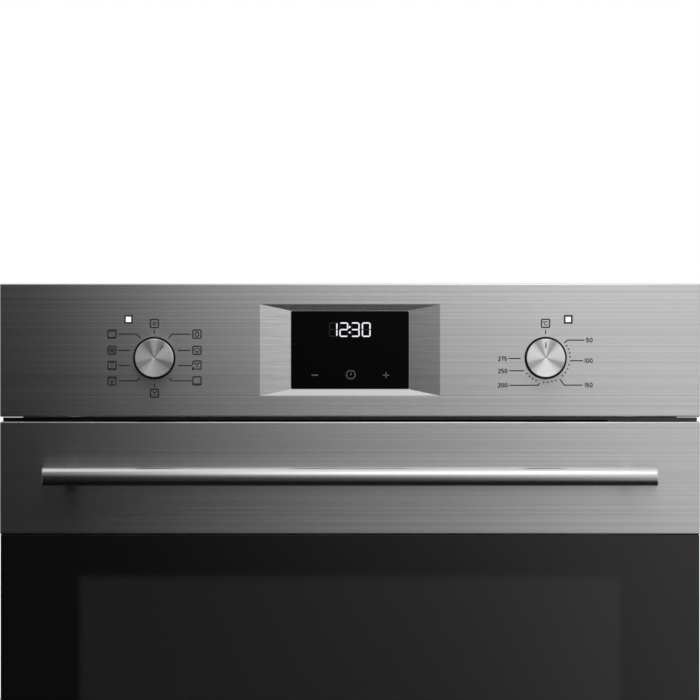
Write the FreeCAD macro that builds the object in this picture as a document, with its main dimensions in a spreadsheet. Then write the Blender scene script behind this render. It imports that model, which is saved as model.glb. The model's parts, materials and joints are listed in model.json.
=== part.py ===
"""A built-in wall oven, 596 mm wide, as an assembly of separate sub-parts.

Frame: +X to the right as seen from the front, +Y to the rear, +Z up, in millimetres. The origin is the
middle of the base, so the face of the control fascia is at -Y. The sizes that drive the model are in the
spreadsheet named Sizes, and every formula below is written with the names of its cells.
"""

import FreeCAD, Part
import math
import os
import re
import Sketcher

Vector = FreeCAD.Vector
doc = FreeCAD.newDocument("WallOven")
sheet = doc.addObject("Spreadsheet::Sheet", "Sizes")
subparts = {}

SIZES = {
    # the front, as it is seen with the door shut
    "front_width": 596,
    "front_top": 596,
    "fascia_height": 113.5,
    "air_slot": 4,
    "face_depth": 265,
    "skin": 1,
    "fold_radius": 1.3,
    # the pressed recess of the clock
    "recess_width": 153.4,
    "recess_height": 78,
    "recess_depth": 4.2,
    "recess_shift": 0.2,
    "glass_gap": 0.2,
    "glass_set_back": 0.3,
    "clock_width": 100.2,
    "clock_height": 66.1,
    "clock_corner": 1.6,
    "clock_glass": 3,
    # knobs, spindles and lamps on the fascia
    "knob_offset": 166.6,
    "knob_drop": 6.6,
    "skirt_radius": 18,
    "skirt_depth": 3,
    "cap_radius": 16.3,
    "cap_depth": 17,
    "cap_chamfer": 0.4,
    "knob_clearance": 0.6,
    "marker_inner": 8.2,
    "marker_outer": 13.5,
    "marker_width": 1,
    "function_angle": 36,
    "spindle_radius": 3,
    "lamp_left": 188.6,
    "lamp_right": 185.8,
    "lamp_rise": 26.3,
    "lamp_frame": 7.6,
    "lamp_lens": 4.2,
    # the door
    "door_bottom": 10,
    "door_rear": 239,
    "outer_pane": 4,
    "glass_bottom": 62,
    "glass_top": 382,
    "handle_height": 432,
    "handle_radius": 8,
    "handle_reach": 37,
    "handle_half": 262,
    "post_offset": 236,
    "post_radius": 6,
    "column_inner": 264,
    "hinge_y": 252,
    "hinge_z": 20,
    "hinge_x": 273,
    "pin_radius": 3,
    # the chassis
    "frame_front": 233,
    "frame_sheet": 1.2,
    "frame_half": 296,
    "frame_top": 482,
    "chassis_half": 279,
    "chassis_top": 588,
    "chassis_rear": 308,
    "screw_x": 287.5,
    "screw_low": 100,
    "screw_high": 400,
    "screw_hole": 2.6,
    # the cavity
    "cavity_half": 230,
    "cavity_floor": 75,
    "cavity_roof": 425,
    "cavity_rear": 215,
    "cavity_corner": 30,
    "cavity_sheet": 1.2,
    "fan_height": 250,
    "baffle_front": 172,
    "baffle_half": 150,
    "baffle_bottom": 110,
    "baffle_top": 390,
    "element_radius": 3.25,
    # racks, shelf and tray
    "rack_x": 226,
    "guide_x": 221.5,
    "rack_wire": 3,
    "guide_wire": 2,
    "first_level": 120,
    "level_pitch": 60,
    "guide_gap": 14,
    "shelf_front": 190,
    "shelf_rear": 150,
    "shelf_level": 2,
    # the cooling deck
    "deck_height": 464,
    "duct_top": 486,
    "blower_y": 150,
    "blower_z": 512,
    "blower_radius": 28,
}


def fill_sheet():
    """Writes each size into its own row of the sheet: its name, then its value under that alias."""
    for row, (name, value) in enumerate(SIZES.items(), start=1):
        sheet.set(f"A{row}", name)
        sheet.set(f"B{row}", str(value))
        sheet.setAlias(f"B{row}", name)
    doc.recompute()


def formula(text):
    """A formula in size names, such as "skin * 2", as an expression that reads the sheet."""
    return re.sub(r"[a-z]+(?:_[a-z]+)*", lambda m: sized(m.group()), str(text))


def sized(word):
    return "Sizes." + word if word in SIZES else word


def size(name):
    """The value of one size, read from the sheet."""
    return float(getattr(sheet, name))


def bind(piece, **formulas):
    for property_name, text in formulas.items():
        piece.setExpression(property_name, formula(text))
    return piece


def place(piece, x, y, z):
    for axis, text in (("x", x), ("y", y), ("z", z)):
        piece.setExpression(f"Placement.Base.{axis}", formula(text))
    return piece


# ---- plain solids -------------------------------------------------------------------------------


def block(name, x, y, z):
    """A box between two formulas on each axis."""
    made = doc.addObject("Part::Box", name)
    bind(made, Length=f"({x[1]}) - ({x[0]})", Width=f"({y[1]}) - ({y[0]})", Height=f"({z[1]}) - ({z[0]})")
    return place(made, x[0], y[0], z[0])


TURNS = {
    "X": FreeCAD.Rotation(Vector(0, 1, 0), 90),
    "Y": FreeCAD.Rotation(Vector(1, 0, 0), -90),
    "Z": FreeCAD.Rotation(),
}


def rod(name, axis, radius, span, across):
    """A cylinder along an axis, from span[0] to span[1], at the other two coordinates in across."""
    made = doc.addObject("Part::Cylinder", name)
    bind(made, Radius=radius, Height=f"({span[1]}) - ({span[0]})")
    made.Placement.Rotation = TURNS[axis]
    at = list(across)
    at.insert("XYZ".index(axis), span[0])
    return place(made, *at)


def ball(name, radius, centre):
    made = doc.addObject("Part::Sphere", name)
    bind(made, Radius=radius)
    return place(made, *centre)


def frustum(name, y, front, rear):
    """A four-sided taper along Y. front and rear are (half width, low, high) at y[0] and y[1]."""
    made = doc.addObject("Part::Wedge", name)
    bind(made, Ymin=y[0], Ymax=y[1])
    bind(made, Xmin=f"-({front[0]})", Xmax=front[0], Zmin=front[1], Zmax=front[2])
    bind(made, X2min=f"-({rear[0]})", X2max=rear[0], Z2min=rear[1], Z2max=rear[2])
    return made


def about(centre, half):
    """The two ends of a span that is half as long to each side of its centre."""
    return (f"({centre}) - ({half})", f"({centre}) + ({half})")


def fuse(name, pieces):
    made = doc.addObject("Part::MultiFuse", name)
    made.Shapes = pieces
    made.Refine = True
    return made


def cut(name, base, tools):
    """base less every piece in tools."""
    made = doc.addObject("Part::Cut", name)
    made.Base = base
    made.Tool = tools[0] if len(tools) == 1 else group(name + "_tools", tools)
    return made


def group(name, pieces):
    made = doc.addObject("Part::Compound", name)
    made.Links = pieces
    return made


def mirrored(name, source):
    """source on the other side of the middle plane."""
    made = doc.addObject("Part::Mirroring", name)
    made.Source = source
    made.Normal = Vector(1, 0, 0)
    return made


def rounded(name, base, radius_name, wanted):
    """base with the straight edges that wanted(direction, middle) picks rounded to a size of the sheet."""
    doc.recompute()
    edges = []
    for number, edge in enumerate(base.Shape.Edges, start=1):
        if isinstance(edge.Curve, Part.Line):
            start, end = edge.Vertexes[0].Point, edge.Vertexes[-1].Point
            direction = (end - start).normalize()
            if wanted(direction, (start + end) * 0.5):
                edges.append(number)
    made = doc.addObject("Part::Fillet", name)
    made.Base = base
    made.Edges = [(number, size(radius_name), size(radius_name)) for number in edges]
    return made


def along_y(direction, middle):
    return abs(direction.y) > 0.99


def keep(label, piece):
    """Names piece as a sub-part of the oven."""
    piece.Label = label
    subparts[label] = piece
    return piece


# ---- sketched bodies ----------------------------------------------------------------------------


def new_body(name):
    return doc.addObject("PartDesign::Body", name)


def origin_feature(body, role):
    return next(f for f in body.Origin.OriginFeatures if f.Role == role)


def new_sketch(body, name, role):
    made = body.newObject("Sketcher::SketchObject", name)
    made.AttachmentSupport = [(origin_feature(body, role), "")]
    made.MapMode = "FlatFace"
    return made


def hold(made, kind, geometry, corner, text, start_value):
    """A distance from the sketch's origin to a corner, bound to a formula."""
    number = made.addConstraint(Sketcher.Constraint(kind, -1, 1, geometry, corner, start_value))
    made.setExpression(f"Constraints[{number}]", formula(text))


def value_of(text):
    return float(eval_formula(text))


def eval_formula(text):
    """The number that a formula gives, worked out by the document itself."""
    return sheet.evalExpression(formula(text))


def polygon(body, name, role, corners):
    """A closed outline whose corners are pairs of formulas in the sketch's own axes."""
    made = new_sketch(body, name, role)
    values = [(value_of(a), value_of(b)) for a, b in corners]
    count = len(values)
    for i in range(count):
        (ax, ay), (bx, by) = values[i], values[(i + 1) % count]
        made.addGeometry(Part.LineSegment(Vector(ax, ay, 0), Vector(bx, by, 0)), False)
    for i in range(count):
        made.addConstraint(Sketcher.Constraint("Coincident", i, 2, (i + 1) % count, 1))
    for i, ((a, b), (x, y)) in enumerate(zip(corners, values)):
        hold(made, "DistanceX", i, 1, a, x)
        hold(made, "DistanceY", i, 1, b, y)
    return made


def circle(body, name, role, centre, radius):
    """A circle about a pair of formulas."""
    made = new_sketch(body, name, role)
    x, y = (value_of(text) for text in centre)
    made.addGeometry(Part.Circle(Vector(x, y, 0), Vector(0, 0, 1), value_of(radius)), False)
    hold(made, "DistanceX", 0, 3, centre[0], x)
    hold(made, "DistanceY", 0, 3, centre[1], y)
    number = made.addConstraint(Sketcher.Constraint("Radius", 0, value_of(radius)))
    made.setExpression(f"Constraints[{number}]", formula(radius))
    return made


def pad(body, name, profile, length, forward=0):
    """A pad of length towards the sketch's normal, starting forward of the sketch's plane."""
    profile.setExpression("AttachmentOffset.Base.z", formula(forward))
    made = body.newObject("PartDesign::Pad", name)
    made.Profile = profile
    bind(made, Length=length)
    doc.recompute()
    return made


def pocket(body, name, profile, length, forward=0):
    """A pocket against the sketch's normal, from forward of its plane. It has to remove something."""
    before = body.Shape.Volume
    profile.setExpression("AttachmentOffset.Base.z", formula(forward))
    made = body.newObject("PartDesign::Pocket", name)
    made.Profile = profile
    bind(made, Length=length)
    doc.recompute()
    if not body.Shape.Volume < before:
        raise ValueError(f"{name} cuts nothing")
    return made


def revolve(body, name, profile):
    """A full turn of the profile about the sketch's vertical axis."""
    made = body.newObject("PartDesign::Revolution", name)
    made.Profile = profile
    made.ReferenceAxis = (profile, ["V_Axis"])
    made.Angle = 360
    doc.recompute()
    return made


def repeat_round(body, name, feature, role, count):
    """feature repeated evenly about an axis of the body."""
    made = body.newObject("PartDesign::PolarPattern", name)
    made.Originals = [feature]
    made.Axis = (origin_feature(body, role), [""])
    made.Angle = 360
    made.Occurrences = count
    body.Tip = made
    doc.recompute()
    return made


# ---- bent tubes ---------------------------------------------------------------------------------


def bent_path(points, bend):
    """A wire of straight runs through points, joined by tangent arcs of radius bend."""
    edges, start = [], points[0]
    for i in range(1, len(points) - 1):
        to_last = (points[i - 1] - points[i]).normalize()
        to_next = (points[i + 1] - points[i]).normalize()
        half = to_last.getAngle(to_next) / 2
        setback = bend / math.tan(half)
        first, last = points[i] + to_last * setback, points[i] + to_next * setback
        middle_way = (to_last + to_next).normalize()
        centre = points[i] + middle_way * (bend / math.sin(half))
        edges.append(Part.LineSegment(start, first).toShape())
        edges.append(Part.Arc(first, centre - middle_way * bend, last).toShape())
        start = last
    edges.append(Part.LineSegment(start, points[-1]).toShape())
    return Part.Wire(edges)


def tube(name, points, radius, bend):
    """A round bar bent along points, as a feature of its own."""
    path = bent_path(points, bend)
    heading = points[1] - points[0]
    section = Part.Wire([Part.makeCircle(radius, points[0], heading)])
    shape = path.makePipeShell([section], True, False)
    expected = math.pi * radius**2 * path.Length
    if abs(shape.Volume - expected) > 0.02 * expected:
        raise ValueError(f"{name} has the wrong volume")
    made = doc.addObject("Part::Feature", name)
    made.Shape = shape
    return made


# ---- the front: fascia, clock, lamps ------------------------------------------------------------

FASCIA_LOW = "front_top - fascia_height"
FASCIA_MIDDLE = "front_top - fascia_height / 2"
KNOB_Z = f"{FASCIA_MIDDLE} - knob_drop"
LAMP_Z = f"{FASCIA_MIDDLE} + lamp_rise"
RECESS_Z = f"{FASCIA_MIDDLE} + recess_shift"
RECESS_FLOOR = "recess_depth - face_depth"
GLASS_FACE = "recess_depth + glass_set_back - face_depth"
CARRIER_FRONT = "-door_rear + 0.2"
SCREEN_HALF = "clock_width / 2 + glass_gap"
SCREEN_RISE = "clock_height / 2 + glass_gap"


def front_edges(direction, middle):
    """The edges round the face of a folded front panel, and its four corners along Y."""
    return abs(middle.y + size("face_depth")) < 0.01 or abs(direction.y) > 0.99


def make_fascia():
    """A folded stainless tray with the pressed recess, two spindle holes and two lamp windows."""
    outer = block(
        "FasciaOuter",
        ("-front_width / 2", "front_width / 2"),
        ("-face_depth", CARRIER_FRONT),
        (FASCIA_LOW, "front_top"),
    )
    folded = rounded("FasciaFolded", outer, "fold_radius", front_edges)
    inside = block(
        "FasciaInside",
        ("-front_width / 2 + skin", "front_width / 2 - skin"),
        ("-face_depth + skin", "-door_rear + 1"),
        (f"{FASCIA_LOW} + skin", "front_top - skin"),
    )
    tray = cut("FasciaTray", folded, [inside])
    wide, tall = "recess_width / 2", "recess_height / 2"
    rim, rise = f"{SCREEN_HALF} + 0.2", f"{SCREEN_RISE} + 0.2"

    def spread(half, height, more=0):
        return (f"{half} + {more}", f"{RECESS_Z} - ({height}) - {more}", f"{RECESS_Z} + {height} + {more}")

    face, floor = "-face_depth", RECESS_FLOOR
    slopes = (f"{face} + skin / 2", floor)
    behind, above = about(0, f"{rim} + skin"), about(RECESS_Z, f"{rise} + skin")
    shell = [
        frustum("RecessSkin", slopes, spread(wide, tall, "skin"), spread(rim, rise, "skin")),
        block("RecessFloor", behind, (floor, f"{floor} + skin"), above),
    ]
    window = (f"{floor} - 1", f"{floor} + skin + 1")
    pane = block("ScreenWindow", about(0, SCREEN_HALF), window, about(RECESS_Z, SCREEN_RISE))
    hollow = [
        frustum("RecessHollow", (face, floor), spread(wide, tall), spread(rim, rise)),
        rounded("ScreenOpening", pane, "clock_corner", along_y),
    ]
    holes = []
    through = ("-face_depth - 1", "-face_depth + 5")
    for side in (-1, 1):
        at = (f"{side} * knob_offset", KNOB_Z)
        holes.append(rod(f"SpindleHole{side + 1}", "Y", "spindle_radius + 2", through, at))
    for side, offset in ((-1, "lamp_left"), (1, "lamp_right")):
        x, z = about(f"{side} * {offset}", "lamp_frame / 2"), about(LAMP_Z, "lamp_frame / 2")
        holes.append(block(f"LampWindow{side + 1}", x, through, z))
    pressed = fuse("FasciaPressed", [tray, *shell])
    keep("control_fascia", cut("ControlFascia", pressed, [*hollow, *holes]))


def make_carrier():
    """The bracket behind the fascia: it closes the tray and holds the switches, clock and lamps."""
    plate_y = (CARRIER_FRONT, f"{CARRIER_FRONT} + frame_sheet")
    plate = block("CarrierPlate", ("-297", "297"), plate_y, (f"{FASCIA_LOW} + 1", "front_top - 1"))
    depth = (CARRIER_FRONT, "-215")
    pieces = [plate, block("CarrierTop", about(0, 266), depth, ("chassis_top - 2.2", "chassis_top - 1"))]
    holes = []
    for side in (-1, 1):
        x = about(f"{side} * (chassis_half - 1.6)", "0.6")
        pieces.append(block(f"CarrierWing{side + 1}", x, depth, ("490", "chassis_top - 2.2")))
        at = (f"{side} * knob_offset", KNOB_Z)
        holes.append(rod(f"CarrierHole{side + 1}", "Y", "spindle_radius + 3", ("-242", "-230"), at))
    keep("fascia_carrier", cut("FasciaCarrier", fuse("CarrierBlank", pieces), holes))


def make_clock():
    """The glass of the clock, and the display module with its board behind it."""
    body = new_body("DisplayGlass")
    half, tall = "clock_width / 2", "clock_height / 2"
    corners = [
        (f"-{half}", f"{RECESS_Z} - {tall}"),
        (half, f"{RECESS_Z} - {tall}"),
        (half, f"{RECESS_Z} + {tall}"),
        (f"-{half}", f"{RECESS_Z} + {tall}"),
    ]
    outline = polygon(body, "GlassOutline", "XZ_Plane", corners)
    plate = pad(body, "GlassPlate", outline, "clock_glass", f"-({GLASS_FACE}) - clock_glass")
    rounding = body.newObject("PartDesign::Fillet", "GlassCorners")
    upright = [
        f"Edge{n}"
        for n, edge in enumerate(plate.Shape.Edges, start=1)
        if along_y((edge.Vertexes[-1].Point - edge.Vertexes[0].Point).normalize(), None)
    ]
    rounding.Base = (plate, upright)
    bind(rounding, Radius="clock_corner")
    keep("display_glass", body)
    rear = f"{GLASS_FACE} + clock_glass"
    shell = block("ModuleShell", about(0, 48), (rear, CARRIER_FRONT), about(RECESS_Z, 31))
    well = block("ModuleWell", about(0, 44), (rear, f"{rear} + 4"), about(RECESS_Z, 27))
    keep("display_module", cut("DisplayModule", shell, [well]))


def make_lamps():
    """Two square pilot lamps: a dark frame in the fascia, and the light pipe in it."""
    frames, pipes = [], []
    for side, offset in ((-1, "lamp_left"), (1, "lamp_right")):
        x = f"{side} * {offset}"

        frame = (about(x, "lamp_frame / 2"), about(LAMP_Z, "lamp_frame / 2"))
        lens = (about(x, "lamp_lens / 2"), about(LAMP_Z, "lamp_lens / 2"))
        outer = block(f"LampOuter{side + 1}", frame[0], ("-face_depth + 0.1", CARRIER_FRONT), frame[1])
        bore = block(f"LampBore{side + 1}", lens[0], ("-face_depth - 1", "-door_rear + 1"), lens[1])
        frames.append(cut(f"LampFrame{side + 1}", outer, [bore]))
        pipes.append(block(f"LampPipe{side + 1}", lens[0], ("-face_depth + 0.3", CARRIER_FRONT), lens[1]))
    keep("indicator_bezels", group("IndicatorBezels", frames))
    keep("indicator_lenses", group("IndicatorLenses", pipes))


# ---- knobs and what they turn -------------------------------------------------------------------


def settle(body, side, turned):
    """Puts a body that was drawn about the Y axis on its knob's centre, turned clockwise from upright."""
    body.Placement.Rotation = FreeCAD.Rotation(Vector(0, 1, 0), value_of(turned))
    place(body, f"{side} * knob_offset", 0, KNOB_Z)


def make_knob(name, side, turned):
    """A turned aluminium cap with its marker groove, on a black skirted core, on the switch's spindle."""
    seat = "face_depth + knob_clearance"
    front = f"{seat} + skirt_depth + cap_depth"

    cap = new_body(f"{name}Cap")
    profile = [
        ("13", f"-({seat}) - skirt_depth"),
        ("cap_radius", f"-({seat}) - skirt_depth"),
        ("cap_radius", f"-({front}) + cap_chamfer"),
        ("cap_radius - cap_chamfer", f"-({front})"),
        ("0", f"-({front}) + 0.25"),
        ("0", f"-({front}) + 2"),
        ("13", f"-({front}) + 2"),
    ]
    revolve(cap, f"{name}CapTurned", polygon(cap, f"{name}CapProfile", "XY_Plane", profile))
    slot = [
        ("-marker_width / 2", "marker_inner"),
        ("marker_width / 2", "marker_inner"),
        ("marker_width / 2", "marker_outer"),
        ("-marker_width / 2", "marker_outer"),
    ]
    pocket(cap, f"{name}Marker", polygon(cap, f"{name}MarkerSlot", "XZ_Plane", slot), "1", front)
    settle(cap, side, turned)
    keep(f"{name.lower()}_knob_cap", cap)

    core = new_body(f"{name}Core")
    profile = [
        ("spindle_radius", f"-({seat})"),
        ("skirt_radius - 0.4", f"-({seat})"),
        ("skirt_radius", f"-({seat}) - 0.4"),
        ("skirt_radius", f"-({seat}) - skirt_depth + 0.8"),
        ("skirt_radius - 0.8", f"-({seat}) - skirt_depth"),
        ("13", f"-({seat}) - skirt_depth"),
        ("13", f"-({front}) + 2"),
        ("0", f"-({front}) + 2"),
        ("0", "-face_depth - 16"),
        ("spindle_radius", "-face_depth - 16"),
    ]
    revolve(core, f"{name}CoreTurned", polygon(core, f"{name}CoreProfile", "XY_Plane", profile))
    settle(core, side, turned)
    keep(f"{name.lower()}_knob_core", core)

    spindle = new_body(f"{name}Spindle")
    shank = circle(spindle, f"{name}ShankCircle", "XZ_Plane", ("0", "0"), "spindle_radius")
    pad(spindle, f"{name}Shank", shank, "face_depth + 16 - 208", "208")
    corners = [("-4", "2"), ("4", "2"), ("4", "4"), ("-4", "4")]
    flat = polygon(spindle, f"{name}FlatCut", "XZ_Plane", corners)
    pocket(spindle, f"{name}Flat", flat, "15", "face_depth + 16")
    settle(spindle, side, turned)
    keep(f"{name.lower()}_spindle", spindle)


def make_switches():
    """The rotary function switch and the thermostat, each with its spindle's bore and its tabs."""
    back = f"{CARRIER_FRONT} + frame_sheet"
    for name, label, side, across, depth in (
        ("Switch", "function_switch", -1, 44, 40),
        ("Stat", "thermostat", 1, 38, 34),
    ):
        x = f"{side} * knob_offset"
        rear = f"{back} + {depth}"
        square = (about(x, across / 2), about(KNOB_Z, across / 2))
        housing = block(f"{name}Housing", square[0], (back, rear), square[1])
        nose = rod(f"{name}Nose", "Y", "spindle_radius + 2", (f"{back} - 6", back), (x, KNOB_Z))
        tabs = []
        for n in range(4):
            z = f"{KNOB_Z} + {(-10, 8)[n % 2]}"
            width = about(f"{x} - 13 + {n} * 9", 3)
            tabs.append(block(f"{name}Tab{n}", width, (rear, f"{rear} + 9"), about(z, 0.4)))
        bore = rod(f"{name}Bore", "Y", "spindle_radius + 0.05", (f"{back} - 7", "-207.8"), (x, KNOB_Z))
        keep(label, cut(f"{name}Body", fuse(f"{name}Blank", [housing, nose, *tabs]), [bore]))


# ---- the door -----------------------------------------------------------------------------------

DOOR_TOP = f"{FASCIA_LOW} - air_slot"
DOOR_FRONT = "-face_depth"
DOOR_REAR = "-door_rear"
SKIN_REAR = "-door_rear - 1"
HINGE = ("-hinge_y", "hinge_z")


def folded_panel(name, low, high):
    """A stainless door panel: a tray of one skin, folded back round its four sides."""
    outer = block(
        f"{name}Outer", ("-front_width / 2", "front_width / 2"), (DOOR_FRONT, SKIN_REAR), (low, high)
    )
    folded = rounded(f"{name}Folded", outer, "fold_radius", front_edges)
    inside = block(
        f"{name}Inside",
        ("-front_width / 2 + skin", "front_width / 2 - skin"),
        (f"{DOOR_FRONT} + skin", "0"),
        (f"{low} + skin", f"{high} - skin"),
    )
    return folded, inside


def open_side(name, z):
    """The cut that opens a door panel's fold on the side that meets the glass."""
    return block(name, about(0, "front_width / 2 - skin"), (f"{DOOR_FRONT} + outer_pane", "0"), z)


def make_door_panels():
    """The stainless panels above and below the glass."""
    folded, inside = folded_panel("DoorTop", "glass_top + 0.5", DOOR_TOP)
    opening = open_side("DoorTopOpening", ("glass_top", "glass_top + 3"))
    through = (f"{DOOR_FRONT} - 1", f"{DOOR_FRONT} + 5")
    bolts = [
        rod(f"PostBolt{side + 1}", "Y", 2.5, through, (f"{side} * post_offset", "handle_height"))
        for side in (-1, 1)
    ]
    keep("door_top_panel", cut("DoorTopPanel", folded, [inside, opening, *bolts]))
    folded, inside = folded_panel("DoorBottom", "door_bottom", "glass_bottom - 0.5")
    opening = open_side("DoorBottomOpening", ("glass_bottom - 3", "glass_bottom"))
    arm_slots = [
        block(
            f"BottomArmSlot{side + 1}",
            (f"{side} * hinge_x - 3", f"{side} * hinge_x + 3"),
            (f"{HINGE[0]} - 9", "0"),
            ("door_bottom - 1", "door_bottom + 3"),
        )
        for side in (-1, 1)
    ]
    keep("door_bottom_panel", cut("DoorBottomPanel", folded, [inside, opening, *arm_slots]))


def pane(name, half, y, z):
    return block(name, (f"-({half})", half), y, z)


def make_panes():
    """Three sheets of glass: the outer with ground edges, the middle and the inner."""
    thick = (DOOR_FRONT, f"{DOOR_FRONT} + outer_pane")
    outer = pane("OuterPane", "front_width / 2 - 0.5", thick, ("glass_bottom", "glass_top"))
    doc.recompute()
    ground = doc.addObject("Part::Chamfer", "GroundEdges")
    ground.Base = outer
    ground.Edges = [
        (n, 0.6, 0.6)
        for n, edge in enumerate(outer.Shape.Edges, start=1)
        if abs(edge.CenterOfMass.y + size("face_depth")) < 0.01
    ]
    keep("outer_glass", ground)
    half = "column_inner - 0.2"
    keep("middle_glass", pane("MiddleGlass", half, ("-252", "-249"), ("40", "454")))
    keep("inner_glass", pane("InnerGlass", half, ("-door_rear - 4", DOOR_REAR), ("30", "462")))


def make_columns():
    """The steel columns at the door's sides, open towards the glass, with clips for the middle pane."""
    low, high = "door_bottom + 4", f"{DOOR_TOP} - 5"
    front = f"{DOOR_FRONT} + outer_pane"
    side = "front_width / 2 - skin"
    beyond = (f"{low} - 1", f"{high} + 1")
    outer = block("ColumnOuter", ("column_inner", side), (front, DOOR_REAR), (low, high))
    within = (f"{front} + 1.2", f"{DOOR_REAR} - 1.2")
    inside = block("ColumnInside", ("column_inner - 1", f"{side} - 1.2"), within, beyond)
    rear_wall = (f"{DOOR_REAR} - 3", "0")
    slot = block("ColumnArmSlot", about("hinge_x", 3), rear_wall, (f"{low} - 1", "hinge_z + 14"))
    edge, depth = ("column_inner", "column_inner + 3"), (front, f"{DOOR_REAR} - 1")
    clips = [block(f"PaneClip{n}", edge, depth, about(z, 6)) for n, z in enumerate((246, 336, 426))]
    hollow = cut("ColumnChannel", outer, [inside, slot])
    right = fuse("ColumnRight", [hollow, *clips])
    keep("door_column_right", right)
    keep("door_column_left", mirrored("ColumnLeft", right))


def make_vent_strip():
    """The slotted strip that closes the top of the door between the panes."""
    bar = block("StripBar", about(0, "column_inner - 0.2"), ("-260", DOOR_REAR), ("462", "473"))
    slots = [
        block(f"StripSlot{n}", about(x, 11), ("-257", "-245"), ("461", "474"))
        for n, x in enumerate(range(-240, 241, 30))
    ]
    keep("door_vent_strip", cut("VentStrip", bar, slots))


def make_handle():
    """A round bar on two turned posts, with a screw hole up each post."""
    centre = "-face_depth - handle_reach"
    line = (about(0, "handle_half"), (centre, "handle_height"))
    bar = rod("HandleRound", "X", "handle_radius", *line)
    doc.recompute()
    softened = doc.addObject("Part::Fillet", "HandleBar")
    softened.Base = bar
    rims = [n for n, edge in enumerate(bar.Shape.Edges, start=1) if isinstance(edge.Curve, Part.Circle)]
    softened.Edges = [(n, 1.5, 1.5) for n in rims]
    keep("handle_bar", softened)
    posts = []
    for side in (-1, 1):
        at = (f"{side} * post_offset", "handle_height")
        shank = rod(f"PostShank{side + 1}", "Y", "post_radius", (centre, DOOR_FRONT), at)
        foot = rod(f"PostFoot{side + 1}", "Y", "post_radius + 2", (f"{DOOR_FRONT} - 2.5", DOOR_FRONT), at)
        seat = rod(f"PostSeat{side + 1}", "X", "handle_radius", *line)
        bolt = rod(f"PostThread{side + 1}", "Y", 2.5, (f"{DOOR_FRONT} - 12", f"{DOOR_FRONT} + 1"), at)
        posts.append(cut(f"Post{side + 1}", fuse(f"PostBlank{side + 1}", [shank, foot]), [seat, bolt]))
    keep("handle_posts", group("HandlePosts", posts))


def make_hinges():
    """On each side: a channel and pin in the door, and the fixed arm with its receiver in the chassis."""
    channels, pins, arms, receivers = [], [], [], []
    y, z = HINGE
    for side in (-1, 1):
        x = f"{side} * hinge_x"
        wide, room, thin = about(x, 6), about(x, 4.5), about(x, 1.5)
        mark = side + 1
        web = block(f"HingeWeb{mark}", wide, (f"{y} - 7.2", f"{y} + 9"), (f"{z} - 5", "190"))
        inside = block(f"HingeRoom{mark}", room, (f"{y} - 5.7", "0"), (f"{z} - 6", "191"))
        swing = rod(f"HingeSwing{mark}", "X", 8, room, (y, z))
        low = block(f"HingeLow{mark}", room, (f"{y} - 9", "0"), (f"{z} - 6", z))
        hole = rod(f"HingeHole{mark}", "X", "pin_radius", about(x, 7), (y, z))
        channels.append(cut(f"HingeChannel{mark}", web, [inside, swing, low, hole]))
        pins.append(rod(f"HingePin{mark}", "X", "pin_radius", wide, (y, z)))
        eye = rod(f"ArmEye{mark}", "X", 6.5, thin, (y, z))
        bar = block(f"ArmBar{mark}", thin, (y, "-140"), (f"{z} - 6", f"{z} + 6.5"))
        hook = block(f"ArmHook{mark}", thin, ("-165", "-140"), (f"{z} - 6", f"{z} + 16"))
        bore = rod(f"ArmBore{mark}", "X", "pin_radius + 0.05", about(x, 2), (y, z))
        arms.append(cut(f"HingeArm{mark}", fuse(f"ArmBlank{mark}", [eye, bar, hook]), [bore]))
        front = "-frame_front + frame_sheet"
        box = block(f"ReceiverBox{mark}", room, (front, "-130"), ("12", "46"))
        gap = block(f"ReceiverGap{mark}", thin, (f"{front} - 1", "-132"), (f"{z} - 6", "47"))
        receivers.append(cut(f"Receiver{mark}", box, [gap]))
    keep("hinge_bodies", group("HingeBodies", channels))
    keep("hinge_pins", group("HingePins", pins))
    keep("hinge_arms", group("HingeArms", arms))
    keep("hinge_receivers", group("HingeReceivers", receivers))


# ---- the casing ---------------------------------------------------------------------------------

SCREW_SPOTS = [(side * 272.5, z) for side in (-1, 1) for z in (60, 180, 300, 420, 540)]


def screw_holes(name):
    return [
        rod(f"{name}{n}", "Y", 1.75, ("chassis_rear - 5", "chassis_rear + 1"), (x, z))
        for n, (x, z) in enumerate(SCREW_SPOTS)
    ]


def make_side_panels():
    """Each side panel: a sheet with flanges for the top and rear covers, and louvre slots high up."""
    front, rear = "-frame_front + frame_sheet", "chassis_rear - 1"
    inner = "chassis_half - 1"
    wall = block("SideWall", (inner, "chassis_half"), (front, rear), ("0", "chassis_top"))
    top = block("SideTop", (f"{inner} - 11", inner), ("-214", rear), ("chassis_top - 1", "chassis_top"))
    back = block("SideBack", (f"{inner} - 11", inner), (f"{rear} - 1", rear), ("2", "chassis_top - 1"))
    slots = [
        block(f"SideSlot{n}", (f"{inner} - 1", "chassis_half + 1"), (y, f"{y} + 44"), (z, f"{z} + 4"))
        for n, (y, z) in enumerate((y, z) for y in (90, 160, 230) for z in (500, 514, 528, 542))
    ]
    right = cut("SidePanel", fuse("SideBlank", [wall, top, back]), [*slots, *screw_holes("SideScrewHole")])
    keep("right_side_panel", right)
    keep("left_side_panel", mirrored("LeftSidePanel", right))


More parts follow.
